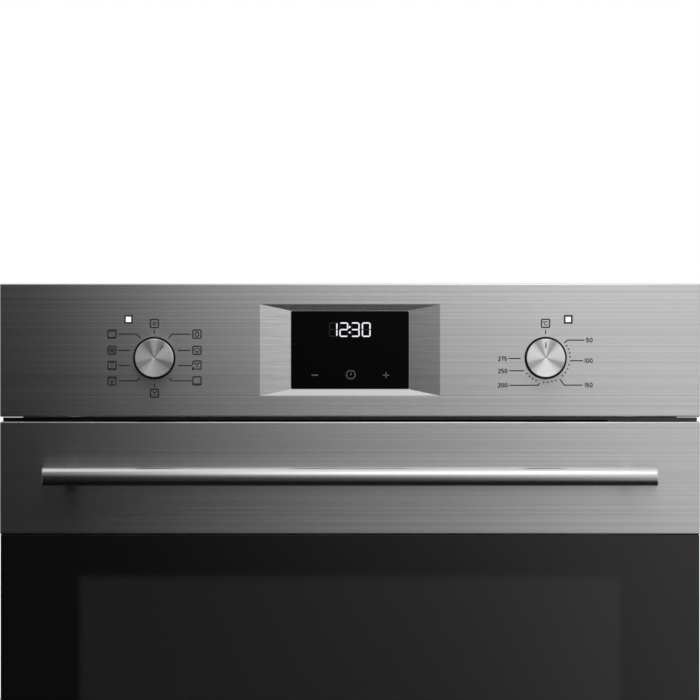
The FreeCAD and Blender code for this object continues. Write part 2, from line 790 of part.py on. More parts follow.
def make_base_pan():
    """The floor of the chassis: a shallow tray with two stiffening ribs pressed up along it."""
    inner = "chassis_half - 1"
    rear = "chassis_rear - 2"
    outer = block("BaseOuter", (f"-({inner})", inner), ("-228", rear), ("0", "12"))
    hollow = block("BaseHollow", (f"-({inner}) + 1", f"{inner} - 1"), ("-227", f"{rear} - 1"), ("1", "13"))
    ribs = [
        block(f"BaseRib{n}", (f"{x} - 8", f"{x} + 8"), ("-200", "280"), ("0.5", "5"))
        for n, x in enumerate((-190, -95, 95, 190))
    ]
    clear = [
        block(f"BaseRibUnder{n}", (f"{x} - 7", f"{x} + 7"), ("-199", "279"), ("-1", "4"))
        for n, x in enumerate((-190, -95, 95, 190))
    ]
    tray = cut("BaseTray", outer, [hollow])
    keep("base_pan", cut("BasePan", fuse("BaseBlank", [tray, *ribs]), clear))


def make_top_cover():
    """The lid of the control compartment, with rows of vent slots."""
    sheet_z = ("chassis_top", "chassis_top + 1")
    lid = block("TopLid", about(0, "chassis_half"), ("-228", "chassis_rear"), sheet_z)
    slots = [
        block(f"TopSlot{n}", (x, f"{x} + 5"), (y, f"{y} + 60"), ("chassis_top - 1", "chassis_top + 2"))
        for n, (x, y) in enumerate((x, y) for x in range(-120, 121, 15) for y in (-110, 60, 220))
    ]
    keep("top_cover", cut("TopCover", lid, slots))


GLAND = ("210", "540")


def make_rear_cover():
    """The back of the casing: louvres, screw holes and the opening for the mains lead's gland."""
    rear = "chassis_rear"
    through = (f"{rear} - 2", f"{rear} + 1")
    plate = block("RearPlate", about(0, "chassis_half"), (f"{rear} - 1", rear), ("0", "chassis_top"))
    spots = [(x, z) for x in (-160, -80, 0, 80, 160) for z in (60, 72, 84, 420, 432, 444)]
    slots = [block(f"RearSlot{n}", about(x, 30), through, (z, z + 4)) for n, (x, z) in enumerate(spots)]
    gland = rod("GlandHole", "Y", 14, through, GLAND)
    keep("rear_cover", cut("RearCover", plate, [*slots, gland, *screw_holes("RearScrewHole")]))


def make_screws():
    """Ten pan-head screws that hold the rear cover to the side panels."""
    screws = []
    for n, (x, z) in enumerate(SCREW_SPOTS):
        shank = rod(f"ScrewShank{n}", "Y", 1.75, ("chassis_rear - 4", "chassis_rear"), (x, z))
        head = rod(f"ScrewHead{n}", "Y", 3.4, ("chassis_rear", "chassis_rear + 2"), (x, z))
        sunk = ("chassis_rear + 1", "chassis_rear + 3")
        bars = [
            block(f"ScrewCross{n}_{turn}", about(x, half), sunk, about(z, 2.4 - half))
            for turn, half in enumerate((2, 0.4))
        ]
        screws.append(cut(f"Screw{n}", fuse(f"ScrewBlank{n}", [shank, head]), bars))
    keep("casing_screws", group("CasingScrews", screws))


def make_power_inlet():
    """The strain-relief gland in the rear cover, and the terminal block behind it."""
    ring = rod("GlandRing", "Y", 14, ("300", "310"), GLAND)
    flange = rod("GlandFlange", "Y", 18, ("302", "chassis_rear - 1"), GLAND)
    bore = rod("GlandBore", "Y", 9, ("299", "311"), GLAND)
    keep("cable_gland", cut("CableGland", fuse("GlandBlank", [ring, flange]), [bore]))
    block_body = block("TerminalBody", ("150", "180"), ("270", "chassis_rear - 1"), ("505", "575"))
    wells = [
        rod(f"TerminalScrew{n}", "Y", 3.5, ("265", "278"), ("165", f"514 + {n} * 13")) for n in range(5)
    ]
    keep("terminal_block", cut("TerminalBlock", block_body, wells))


def make_front_frame():
    """The enamelled face of the chassis: the oven's mouth, arm slots, fixing holes and the air outlet."""
    front, rear = "-frame_front", "-frame_front + frame_sheet"
    through = ("-240", "-225")
    plate = block("FramePlate", ("-frame_half", "frame_half"), (front, rear), ("6", "frame_top"))
    mouth = cavity_block("FrameMouth", "0", (f"{front} - 5", f"{rear} + 5"), "cavity_corner")
    slots = [
        block(f"FrameArmSlot{side + 1}", about(f"{side} * hinge_x", 3), through, ("8", "40"))
        for side in (-1, 1)
    ]
    outlet = block("FrameOutlet", about(0, 220), through, ("467", "480"))
    holes = [
        rod(f"FixingHole{side + 1}{level}", "Y", "screw_hole", through, (f"{side} * screw_x", level))
        for side in (-1, 1)
        for level in ("screw_low", "screw_high")
    ]
    keep("front_frame", cut("FrontFrame", plate, [mouth, *slots, outlet, *holes]))
    bar = block("GrilleBar", ("-219.8", "219.8"), ("-235", "-226"), ("467.2", "479.8"))
    gaps = [
        block(f"GrilleGap{n}", (x, x + 9), ("-236", "-225"), ("469", "478"))
        for n, x in enumerate(range(-215, 206, 12))
    ]
    keep("vent_grille", cut("VentGrille", bar, gaps))


def cavity_block(name, grow, y, corner_name):
    """A block of the cavity's section, grown all round, with its long edges rounded."""
    plain = block(
        f"{name}Plain",
        (f"-cavity_half - {grow}", f"cavity_half + {grow}"),
        y,
        (f"cavity_floor - {grow}", f"cavity_roof + {grow}"),
    )
    return rounded(name, plain, corner_name, along_y)


# ---- the cavity and what heats it ---------------------------------------------------------------

ELEMENT_X = 30
LAMP = ("-188", "385")
PROBE = (165, 392)


def make_cavity():
    """The enamelled liner, its back wall with every hole through it, and the seal round its mouth."""
    y = ("-frame_front + frame_sheet", "cavity_rear")
    outer = cavity_block("LinerOuter", "cavity_sheet", y, "cavity_corner")
    inner = cavity_block("LinerInner", "0", ("-240", "cavity_rear + 1"), "cavity_corner")
    steam = rod("SteamHole", "Z", 9, ("cavity_roof - 5", "cavity_roof + 5"), ("0", "60"))
    keep("cavity_liner", cut("CavityLiner", outer, [inner, steam]))
    thick = ("cavity_rear", "cavity_rear + cavity_sheet")
    back = cavity_block("BackBlank", "cavity_sheet", thick, "cavity_corner")
    deep = ("cavity_rear - 3", "cavity_rear + 5")
    holes = [
        rod("ShaftHole", "Y", 7, deep, ("0", "fan_height")),
        rod("LampHole", "Y", 20.5, deep, LAMP),
        rod("ProbeHole", "Y", 4, deep, (PROBE[0], PROBE[1])),
        *[rod(f"UpperHole{s + 1}", "Y", 4, deep, (s * ELEMENT_X, 405)) for s in (-1, 1)],
        *[rod(f"RingHole{s + 1}", "Y", 4, deep, (x, z)) for s, x, z in ring_ends()],
    ]
    keep("cavity_back_wall", cut("CavityBackWall", back, holes))


def make_gasket():
    """The round seal that runs along the mouth of the cavity."""
    body = new_body("DoorGasket")
    radius = 2.85
    corner = 28
    centre = -size("frame_front") - radius
    half = size("cavity_half") + 14
    low, high = size("cavity_floor") - 14, size("cavity_roof") + 14
    path = new_sketch(body, "GasketPath", "XZ_Plane")
    path.AttachmentOffset.Base = Vector(0, 0, -centre)
    corners = [
        Vector(0, low, 0),
        Vector(half, low, 0),
        Vector(half, high, 0),
        Vector(-half, high, 0),
        Vector(-half, low, 0),
        Vector(0, low, 0),
    ]
    for edge in bent_path(corners, corner).Edges:
        path.addGeometry(edge_geometry(edge), False)
    for n in range(len(path.Geometry) - 1):
        path.addConstraint(Sketcher.Constraint("Coincident", n, end_of(path, n), n + 1, start_of(path, n)))
    path.addConstraint(Sketcher.Constraint("Coincident", len(path.Geometry) - 1, 2, 0, 1))
    section = circle(body, "GasketSection", "YZ_Plane", (str(centre), str(low)), str(radius))
    doc.recompute()
    seal = body.newObject("PartDesign::AdditivePipe", "GasketPipe")
    seal.Profile = section
    seal.Spine = (path, [f"Edge{n}" for n in range(1, len(path.Geometry) + 1)])
    doc.recompute()
    keep("door_gasket", body)


def edge_geometry(edge):
    """The sketch geometry of a straight or round edge."""
    first, last = edge.Vertexes[0].Point, edge.Vertexes[-1].Point
    if isinstance(edge.Curve, Part.Line):
        return Part.LineSegment(first, last)
    middle = edge.valueAt((edge.FirstParameter + edge.LastParameter) / 2)
    return Part.Arc(first, middle, last)


def touches(sketch, a, a_end, b, b_end):
    return (sketch.getPoint(a, a_end) - sketch.getPoint(b, b_end)).Length < 1e-6


def end_of(sketch, n):
    """Which end of geometry n meets the next one."""
    return next(e for e in (1, 2) if any(touches(sketch, n, e, n + 1, f) for f in (1, 2)))


def start_of(sketch, n):
    """Which end of geometry n + 1 meets the one before."""
    return next(f for f in (1, 2) if any(touches(sketch, n, e, n + 1, f) for e in (1, 2)))


def ring_ends():
    """(side, x, z) of the two ends of the ring element, just either side of its top."""
    lean = math.radians(9)
    aside, rise = RING_RADIUS * math.sin(lean), RING_RADIUS * math.cos(lean)
    return [(side, side * aside, size("fan_height") + rise) for side in (-1, 1)]


RING_RADIUS = 92
RING_Y = 193


def make_elements():
    """The sheathed heaters: the grill under the roof, the base heater under the floor, the fan's ring."""
    radius = size("element_radius")
    lanes = [(-190, 165), (-190, -170), (-134, -170), (-134, 110), (-78, 110), (-78, -170)]
    half = [(-ELEMENT_X, 240), (-ELEMENT_X, 165), *lanes, (-22, -170), (-22, 110)]
    both = half + [(-x, y) for x, y in reversed(half)]
    keep("upper_element", tube("UpperElement", [Vector(x, y, 405) for x, y in both], radius, 19))
    lanes = [(-185, 170), (-185, -180), (-95, -180), (-95, 60), (-ELEMENT_X, 60), (-ELEMENT_X, -60)]
    half = [(-ELEMENT_X, 262), (-ELEMENT_X, 170), *lanes]
    both = half + [(-x, y) for x, y in reversed(half)]
    keep("lower_element", tube("LowerElement", [Vector(x, y, 64) for x, y in both], radius, 19))
    ring = doc.addObject("Part::Torus", "RingTurn")
    ring.Radius1, ring.Radius2, ring.Angle3 = RING_RADIUS, radius, 342
    ring.Placement = FreeCAD.Placement(
        Vector(0, RING_Y, size("fan_height")),
        FreeCAD.Rotation(Vector(1, 0, 0), 90).multiply(FreeCAD.Rotation(Vector(0, 0, 1), 90 + 9)),
    )
    ends = []
    for side, x, z in ring_ends():
        ends.append(rod(f"RingTail{side + 1}", "Y", "element_radius", (RING_Y, 250), (x, z)))
        ends.append(ball(f"RingKnee{side + 1}", "element_radius", (x, RING_Y, z)))
    keep("ring_element", fuse("RingElement", [ring, *ends]))


def make_baffle():
    """The cover over the fan: an intake grille of round holes, and outlet slots along both sides."""
    half, front = "baffle_half", "baffle_front"
    outer = block("BaffleOuter", about(0, half), (front, "cavity_rear"), ("baffle_bottom", "baffle_top"))
    beyond = (f"{front} + 1", "cavity_rear + 1")
    inner = block("BaffleInner", about(0, f"{half} - 1"), beyond, ("baffle_bottom + 1", "baffle_top - 1"))
    deep = (f"{front} - 1", f"{front} + 3")
    holes = []
    for ring in range(1, 6):
        for step in range(6 * ring):
            angle = 2 * math.pi * step / (6 * ring)
            x, z = 11 * ring * math.cos(angle), 11 * ring * math.sin(angle)
            holes.append(rod(f"Intake{ring}_{step}", "Y", 3.6, deep, (f"{x:.4f}", f"fan_height + {z:.4f}")))
    for side in (-1, 1):
        for n in range(9):
            z = f"baffle_bottom + 31 + {n} * 27"
            wall, slot = about(f"{side} * {half}", 4), (f"{front} + 10", f"{front} + 34")
            holes.append(block(f"Outlet{side + 1}{n}", wall, slot, about(z, 9)))
            holes.append(block(f"FrontOutlet{side + 1}{n}", about(side * 118, 14), deep, about(z, 4.5)))
    keep("fan_baffle", cut("FanBaffle", outer, [inner, *holes]))


def make_fan():
    """The fan wheel with its shaft, and the motor on its three-legged bracket."""
    wheel = new_body("FanWheel")
    hub = circle(wheel, "FanDisc", "XZ_Plane", ("0", "0"), "70")
    pad(wheel, "FanBack", hub, "1.2", "-207")
    blade = [("24", "-0.6"), ("68", "-0.6"), ("68", "0.6"), ("24", "0.6")]
    vane = pad(wheel, "FanBlade", polygon(wheel, "BladeOutline", "XZ_Plane", blade), "24", "-206.5")
    repeat_round(wheel, "FanBlades", vane, "Y_Axis", 12)
    boss = circle(wheel, "BossCircle", "XZ_Plane", ("0", "0"), "9")
    pad(wheel, "FanBoss", boss, "20", "-212")
    shaft = circle(wheel, "ShaftCircle", "XZ_Plane", ("0", "0"), "4")
    pad(wheel, "FanShaft", shaft, "95", "-285")
    place(wheel, 0, 0, "fan_height")
    keep("fan_wheel", wheel)
    can = rod("MotorCan", "Y", 34, ("248", "284"), ("0", "fan_height"))
    stack = block("MotorStack", ("-42", "42"), ("256", "276"), ("fan_height - 36", "fan_height + 36"))
    legs = []
    for n in range(3):
        angle = math.radians(90 + 120 * n)
        x, z = 28 * math.cos(angle), 28 * math.sin(angle)
        at = (f"{x:.4f}", f"fan_height + {z:.4f}")
        legs.append(rod(f"MotorLeg{n}", "Y", 4, ("cavity_rear + cavity_sheet", "250"), at))
    bore = rod("MotorBore", "Y", 4.05, ("240", "290"), ("0", "fan_height"))
    keep("fan_motor", cut("FanMotor", fuse("MotorBlank", [can, stack, *legs]), [bore]))


def make_lamp():
    """The oven lamp: a ceramic holder with a halogen capsule, and a glass dome in front of it."""
    wall = "cavity_rear + cavity_sheet"
    x, z = LAMP
    cup = rod("HolderCup", "Y", 26, (wall, "256"), LAMP)
    hollow = rod("HolderHollow", "Y", 21, (f"{wall} - 1", "246"), LAMP)
    keep("lamp_holder", cut("LampHolder", cup, [hollow]))
    capsule = rod("CapsuleGlass", "Y", 5, ("212", "236"), LAMP)
    base = rod("CapsuleBase", "Y", 7, ("236", "246"), LAMP)
    tip = ball("CapsuleTip", "5", (x, "212", z))
    keep("lamp_bulb", fuse("LampBulb", [capsule, base, tip]))
    dome = new_body("LampGlass")
    profile = [
        ("0", "-192"),
        ("12", "-193"),
        ("20", "-198"),
        ("24", "-206"),
        ("25", "-215"),
        ("20.3", "-215"),
        ("20.3", "-226"),
        ("18", "-226"),
        ("18", "-205"),
        ("11", "-198"),
        ("0", "-196"),
    ]
    flipped = [(r, y.replace("-", "")) for r, y in profile]
    revolve(dome, "DomeTurned", polygon(dome, "DomeProfile", "XY_Plane", flipped))
    place(dome, x, 0, z)
    keep("lamp_glass", dome)


def make_probe():
    """The thermostat's sensing bulb on the back wall, and its capillary up to the thermostat."""
    x, z = PROBE
    bulb = rod("ProbeBulb", "X", 3, (x - 4, 222), ("205", z))
    stem = rod("ProbeStem", "Y", 1.2, (205, 230), (x, z))
    knob = size("knob_offset")
    high = value_of(KNOB_Z) + 12
    route = [
        Vector(x, 228, z),
        Vector(x, 262, z),
        Vector(x, 262, 496),
        Vector(x, -120, 496),
        Vector(x + 6, -150, 515),
        Vector(knob + 4, -186, high),
        Vector(knob + 4, -203.6, high),
    ]
    capillary = tube("Capillary", route, 1.2, 9)
    keep("thermostat_capillary", fuse("ProbeAndCapillary", [bulb, stem, capillary]))


def make_insulation():
    """The glass-wool wrap round the liner, with its back sheet and the openings for what passes through."""
    outer = block("WoolOuter", ("-262", "262"), ("-224", "238"), ("34", "457"))
    inner = block("WoolInner", ("-234", "234"), ("-225", "218"), ("54", "430"))
    deep = ("216", "240")
    holes = [
        rod("WoolMotor", "Y", 46, deep, ("0", "fan_height")),
        rod("WoolLamp", "Y", 27, deep, LAMP),
        rod("WoolProbe", "Y", 5, deep, PROBE),
        block("WoolRing", ("-30", "30"), deep, ("330", "358")),
        block("WoolUpper", ("-45", "45"), deep, ("396", "414")),
        block("WoolLower", ("-45", "45"), deep, ("56", "72")),
        rod("WoolSteam", "Z", 12, ("425", "460"), ("0", "60")),
    ]
    keep("insulation_wrap", cut("InsulationWrap", outer, [inner, *holes]))


# ---- racks, shelf and tray ----------------------------------------------------------------------


def make_side_racks():
    """The chromed ladder at each side: three uprights, five pairs of guide wires, and its wall pegs."""
    wires = []
    top_level = "first_level + 4 * level_pitch"
    for n, y in enumerate((-185, -20, 145)):
        span = ("first_level - 18", f"{top_level} + 30")
        wires.append(rod(f"RackUpright{n}", "Z", "rack_wire", span, ("rack_x", y)))
    for level in range(5):
        for n, rise in enumerate(("0", "guide_gap")):
            z = f"first_level + {level} * level_pitch + {rise}"
            wires.append(rod(f"Guide{level}{n}", "Y", "guide_wire", ("-200", "160"), ("guide_x", z)))
    for y in (-185, 145):
        for n, z in enumerate(("first_level - 10", f"{top_level} + 24")):
            name = f"RackPeg{'Front' if y < 0 else 'Rear'}{n}"
            wires.append(rod(name, "X", 2.5, ("rack_x", "cavity_half"), (y, z)))
    right = fuse("SideRack", wires)
    keep("side_rack_right", right)
    keep("side_rack_left", mirrored("SideRackLeft", right))


SHELF_SIDE = "guide_x - 3"
SHELF_Z = "first_level + shelf_level * level_pitch + 4.4"


def make_shelf():
    """The chromed shelf: a frame with nineteen light wires and two cross wires, and the rail at its rear."""
    front, rear, z, side = "-shelf_front", "shelf_rear", SHELF_Z, SHELF_SIDE
    wires = [
        rod(f"ShelfSide{s + 1}", "Y", "rack_wire", (front, rear), (f"{s} * ({side})", z)) for s in (-1, 1)
    ]
    ends = (f"-({side})", side)
    wires += [rod(f"ShelfEnd{n}", "X", "rack_wire", ends, (y, z)) for n, y in enumerate((front, rear))]
    wires += [
        ball(f"ShelfCorner{n}", "rack_wire", (f"{s} * ({side})", y, z))
        for n, (s, y) in enumerate((s, y) for s in (-1, 1) for y in (front, rear))
    ]
    wires += [rod(f"ShelfCross{n}", "X", 2, ends, (y, f"{z} - 3")) for n, y in enumerate(("-75", "40"))]
    for n in range(19):
        at = (f"({side}) * {n - 9} / 10", f"{z} + 0.4")
        wires.append(rod(f"ShelfWire{n}", "Y", 1.6, (front, rear), at))
    grid = fuse("ShelfGrid", wires)
    high = f"{z} + 22"
    thin = "rack_wire - 0.6"
    rail = [rod("ShelfRail", "X", thin, about(0, 190), (rear, high))]
    for s in (-1, 1):
        rail.append(rod(f"ShelfRise{s + 1}", "Z", thin, (z, high), (s * 190, rear)))
        rail.append(ball(f"RailEnd{s + 1}", thin, (s * 190, rear, high)))
    keep("wire_shelf", group("WireShelf", [grid, cut("ShelfRear", fuse("RailBlank", rail), [grid])]))


def make_tray():
    """The enamelled baking tray, hung by its rim on the lowest pair of guides."""
    rim = "first_level + guide_wire + 0.3"

    def basin(name, half, front, rear, low, inset):
        made = doc.addObject("Part::Wedge", name)
        bind(made, Ymin=low, Ymax=f"{rim} + 1.2")
        bind(made, X2min=f"-{half}", X2max=half, Z2min=f"-({rear})", Z2max=f"-({front})")
        bind(made, Xmin=f"-{half} + {inset}", Xmax=f"{half} - {inset}")
        bind(made, Zmin=f"-({rear}) + {inset}", Zmax=f"-({front}) - {inset}")
        made.Placement.Rotation = FreeCAD.Rotation(Vector(1, 0, 0), 90)
        return made

    shell = basin("TrayShell", "203", "-178", "138", f"{rim} - 24", "8")
    bowl = basin("TrayBowl", "201.6", "-176.6", "136.6", f"{rim} - 22.8", "8")
    lip = block("TrayLip", about(0, "guide_x + 0.5"), ("-190", "150"), (rim, f"{rim} + 1.2"))
    keep("baking_tray", cut("BakingTray", fuse("TrayBlank", [shell, lip]), [bowl]))


# ---- cooling ------------------------------------------------------------------------------------

BLOWER = ("blower_y", "blower_z")


def make_deck():
    """The deck over the insulation, with the flat duct that leads the cooling air to the front slot."""
    deck = block("DeckPlate", ("-277", "277"), ("-228", "250"), ("deck_height", "deck_height + 1.2"))
    duct = block("DuctOuter", ("-225", "225"), ("-224", "108"), ("deck_height", "duct_top"))
    room = block("DuctRoom", ("-224", "224"), ("-225", "109"), ("deck_height + 1.2", "duct_top - 1"))
    steam = rod("DeckSteam", "Z", 9, ("deck_height - 1", "deck_height + 2"), ("0", "60"))
    keep("air_duct_deck", cut("AirDuctDeck", fuse("DeckBlank", [deck, duct]), [room, steam]))


def make_blower():
    """The cross-flow blower: its rolled housing, its drum of blades and its motor."""
    y, z = BLOWER
    ends = ("-110", "110")
    drum = rod("HousingDrum", "X", "blower_radius + 9", ends, BLOWER)
    foot = block("HousingFoot", ends, ("blower_y - 42", "blower_y + 30"), ("deck_height + 1.2", "blower_z"))
    within = about(0, 108.8)
    inside = rod("HousingRoom", "X", "blower_radius + 7.8", within, BLOWER)
    low = "deck_height + 2.4"
    throat = block("HousingThroat", within, ("blower_y - 40.8", "blower_y + 28.8"), (low, "blower_z"))
    outlet = block("HousingOutlet", within, ("blower_y - 43", "blower_y - 40"), (low, "duct_top - 1"))
    intake = block("HousingIntake", about(0, 100), (y, "blower_y + 60"), ("blower_z + 4", "blower_z + 22"))
    shaft = rod("HousingShaft", "X", 3.5, about(0, 112), BLOWER)
    hollows = [inside, throat, outlet, intake, shaft]
    keep("blower_housing", cut("BlowerHousing", fuse("HousingBlank", [drum, foot]), hollows))
    wheel = new_body("BlowerWheel")
    near = circle(wheel, "DrumEnd", "YZ_Plane", ("0", "0"), "blower_radius")
    pad(wheel, "DrumLeft", near, "1.5", "-106")
    far = circle(wheel, "DrumFarEnd", "YZ_Plane", ("0", "0"), "blower_radius")
    axle = circle(wheel, "AxleCircle", "YZ_Plane", ("0", "0"), "3")
    pad(wheel, "BlowerAxle", axle, "250", "-140")
    outline = [
        ("blower_radius - 7", "-0.5"),
        ("blower_radius - 0.5", "-0.5"),
        ("blower_radius - 0.5", "0.5"),
        ("blower_radius - 7", "0.5"),
    ]
    blade = pad(wheel, "DrumBlade", polygon(wheel, "DrumBladeOutline", "YZ_Plane", outline), "212", "-106")
    repeat_round(wheel, "DrumBlades", blade, "X_Axis", 28)
    pad(wheel, "DrumRight", far, "1.5", "104.5")
    place(wheel, 0, y, z)
    keep("blower_wheel", wheel)
    can = rod("BlowerCan", "X", 22, ("-150", "-116"), BLOWER)
    stack = block("BlowerStack", ("-144", "-122"), about(y, 28), about(z, 26))
    foot = block("BlowerFoot", ("-142", "-124"), about(y, 24), ("deck_height + 1.2", "blower_z - 24"))
    arm = block("BlowerArm", ("-124", "-110"), about(f"{y} - 16", 4), about(f"{z} - 14", 4))
    bore = rod("BlowerBore", "X", 3.05, ("-155", "-105"), BLOWER)
    keep("blower_motor", cut("BlowerMotor", fuse("BlowerMotorBlank", [can, stack, foot, arm]), [bore]))


# ---- build, check and write ---------------------------------------------------------------------


def check():
    """Stops the script if anything failed to build, or a sub-part isn't a set of closed solids."""
    doc.recompute()
    bad = [o.Name for o in doc.Objects if {"Invalid", "Error"} & set(o.State)]
    if bad:
        raise ValueError(f"these objects failed: {bad}")
    for label, piece in subparts.items():
        shape = piece.Shape
        if shape.isNull() or not shape.isValid() or not shape.Solids or shape.Volume <= 0:
            raise ValueError(f"{label} isn't a valid solid")


def write():
    os.makedirs("parts", exist_ok=True)
    for label, piece in subparts.items():
        piece.Shape.exportStep(os.path.join("parts", f"{label}.step"))


fill_sheet()
make_fascia()
make_carrier()
make_clock()
make_lamps()
make_knob("Function", -1, "function_angle")
make_knob("Temperature", 1, "0")
make_switches()
make_door_panels()
make_panes()
make_columns()
make_vent_strip()
make_handle()
make_hinges()
make_side_panels()
make_base_pan()
make_top_cover()
make_rear_cover()
make_screws()
make_power_inlet()
make_front_frame()
make_cavity()
make_gasket()
make_elements()
make_baffle()
make_fan()
make_lamp()
make_probe()
make_insulation()
make_side_racks()
make_shelf()
make_tray()
make_deck()
make_blower()
check()
write()
print(len(subparts), "sub-parts written")
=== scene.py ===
"""Finishes, printed marks, light and camera for the built-in wall oven.

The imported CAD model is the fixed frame. Every CAD piece gets a procedural finish. The flat marks on the
fascia, the knobs, the clock glass, the door's inner pane and the front frame are thin closed meshes made
here.
Lengths inside a drawing are in millimetres from its own centre; everything else is in metres.
"""

import json
import math

import bmesh
import bpy
from bpy.props import FloatProperty, FloatVectorProperty, PointerProperty
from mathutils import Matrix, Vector


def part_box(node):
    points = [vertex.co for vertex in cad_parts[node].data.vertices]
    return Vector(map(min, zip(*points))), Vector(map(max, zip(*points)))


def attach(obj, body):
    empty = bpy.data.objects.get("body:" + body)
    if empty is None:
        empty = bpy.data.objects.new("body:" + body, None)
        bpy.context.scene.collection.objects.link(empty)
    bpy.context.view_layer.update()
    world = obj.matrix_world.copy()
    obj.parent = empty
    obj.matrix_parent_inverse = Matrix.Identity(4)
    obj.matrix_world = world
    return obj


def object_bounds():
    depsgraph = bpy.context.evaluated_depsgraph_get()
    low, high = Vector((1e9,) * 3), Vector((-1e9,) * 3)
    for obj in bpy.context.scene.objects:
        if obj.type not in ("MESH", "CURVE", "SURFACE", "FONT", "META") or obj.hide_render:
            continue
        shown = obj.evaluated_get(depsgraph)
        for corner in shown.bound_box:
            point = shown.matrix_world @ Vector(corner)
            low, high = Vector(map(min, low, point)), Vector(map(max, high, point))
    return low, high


bl_info = {
    "name": "Wall oven",
    "version": (1, 0, 0),
    "blender": (4, 5, 0),
    "location": "3D View > Sidebar > Oven",
    "description": "Finishes, prints, light and camera for a built-in wall oven",
    "category": "Object",
}

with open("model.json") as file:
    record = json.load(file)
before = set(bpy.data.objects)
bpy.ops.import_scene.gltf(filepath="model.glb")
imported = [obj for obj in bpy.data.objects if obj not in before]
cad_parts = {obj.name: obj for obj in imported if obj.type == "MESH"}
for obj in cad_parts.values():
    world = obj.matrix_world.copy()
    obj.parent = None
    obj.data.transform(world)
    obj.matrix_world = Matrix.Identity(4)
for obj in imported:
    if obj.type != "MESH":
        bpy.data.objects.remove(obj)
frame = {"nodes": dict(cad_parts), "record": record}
CAD_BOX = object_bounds()

MM = 0.001
FASCIA_LOW, FASCIA_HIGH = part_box("control_fascia")
FASCIA_WIDTH = FASCIA_HIGH.x - FASCIA_LOW.x
FASCIA_CENTRE = (0.0, (FASCIA_LOW.z + FASCIA_HIGH.z) / 2)
CLOCK_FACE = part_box("display_glass")[0].y
SENSOR = 36.0  # width of the camera's sensor, in millimetres
SHARP_ANGLE = math.radians(28)
SLOT_OF = {s["node"]: s["material_slot"] for s in frame["record"]["subparts"]}


def middle(node):
    """The middle of a CAD node's box, as (x, z)."""
    low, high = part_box(node)
    return (low.x + high.x) / 2, (low.z + high.z) / 2


FUNCTION_CENTRE = middle("function_knob_core")
TEMPERATURE_CENTRE = middle("temperature_knob_core")


# ---------------------------------------------------------------- settings


def tone(name, value, description):
    options = {"size": 3, "min": 0, "max": 1, "subtype": "COLOR"}
    return FloatVectorProperty(name=name, description=description, default=value, **options)


def share(name, value, description):
    return FloatProperty(name=name, description=description, default=value, min=0, max=1, subtype="FACTOR")


def length(name, value, description):
    options = {"min": 1e-6, "precision": 5, "unit": "LENGTH", "subtype": "DISTANCE"}
    return FloatProperty(name=name, description=description, default=value, **options)


def amount(name, value, description, **kind):
    return FloatProperty(name=name, description=description, default=value, min=0, **kind)


class OvenFinishes(bpy.types.PropertyGroup):
    """Colours and gloss of the oven's surfaces."""

    steel: tone("Steel", (0.50, 0.50, 0.50), "Colour of the brushed steel fronts and the handle")
    steel_roughness: share("Steel roughness", 0.21, "Roughness of the brushed steel")
    brushing: share("Brushing", 0.88, "How far a highlight stretches across the brushing lines")
    knob: tone("Knob", (0.83, 0.83, 0.835), "Colour of the turned knob caps")
    black: tone("Black plastic", (0.003, 0.003, 0.0032), "Colour of the knob skirts and the vents")
    glass: tone("Door glass", (0.0045, 0.0047, 0.005), "Colour of the black panes")
    enamel: tone("Enamel", (0.028, 0.031, 0.037), "Ground colour of the cavity enamel")
    # The print's colour also paints the shade in the knobs' marker grooves.
    ink: tone("Ink", (0.014, 0.014, 0.015), "Colour of the print on the fascia")
    digits: tone("Clock figures", (0.93, 0.95, 1.0), "Colour of the lit clock figures")
    digit_glow: amount("Clock glow", 1.05, "Strength of the lit clock figures", subtype="FACTOR")
    lamp_glow: amount("Lamp glow", 1.08, "Strength of the two signal lamps", subtype="FACTOR")


class OvenPrints(bpy.types.PropertyGroup):
    """Sizes of the flat marks."""

    ink_depth: length("Ink depth", 0.00005, "How far a printed mark stands proud")
    line: length("Line", 0.00095, "Width of the leader lines")
    frame_line: length("Symbol frame line", 0.00108, "Width of the rounded frame round a symbol")
    frame_size: length("Symbol frame", 0.008, "Outer width of the rounded frame round a symbol")
    figure: length("Figure height", 0.0041, "Height of the printed figures")
    figure_stroke: length("Figure stroke", 0.00082, "Width of the strokes of the printed figures")
    dot: length("Dot radius", 0.00068, "Radius of the dots between the figures")
    digit_stroke: length("Clock stroke", 0.0012, "Width of one segment of the clock figures")


class OvenStage(bpy.types.PropertyGroup):
    """The plain studio round the oven."""

    floor: tone("Floor", (0.86, 0.86, 0.86), "Colour of the floor and the plinth")
    floor_size: length("Floor size", 9.0, "Width and depth of the floor")
    plinth_height: length("Plinth height", 0.12, "Height of the plinth that the oven stands on")
    lens: amount("Lens", 900.0, "Focal length, in millimetres", subtype="DISTANCE_CAMERA")
    framed_width: length("Framed width", FASCIA_WIDTH, "Width that fills the picture at the fascia's face")
    panel_light: amount("Panel light", 1.24, "Brightness of the graded panel in front", subtype="FACTOR")
    floor_light: amount("Floor light", 60.0, "Power of the soft light over the floor", unit="POWER")


def settings():
    return bpy.context.scene.oven_finishes, bpy.context.scene.oven_prints, bpy.context.scene.oven_stage


# ---------------------------------------------------------------- node graphs


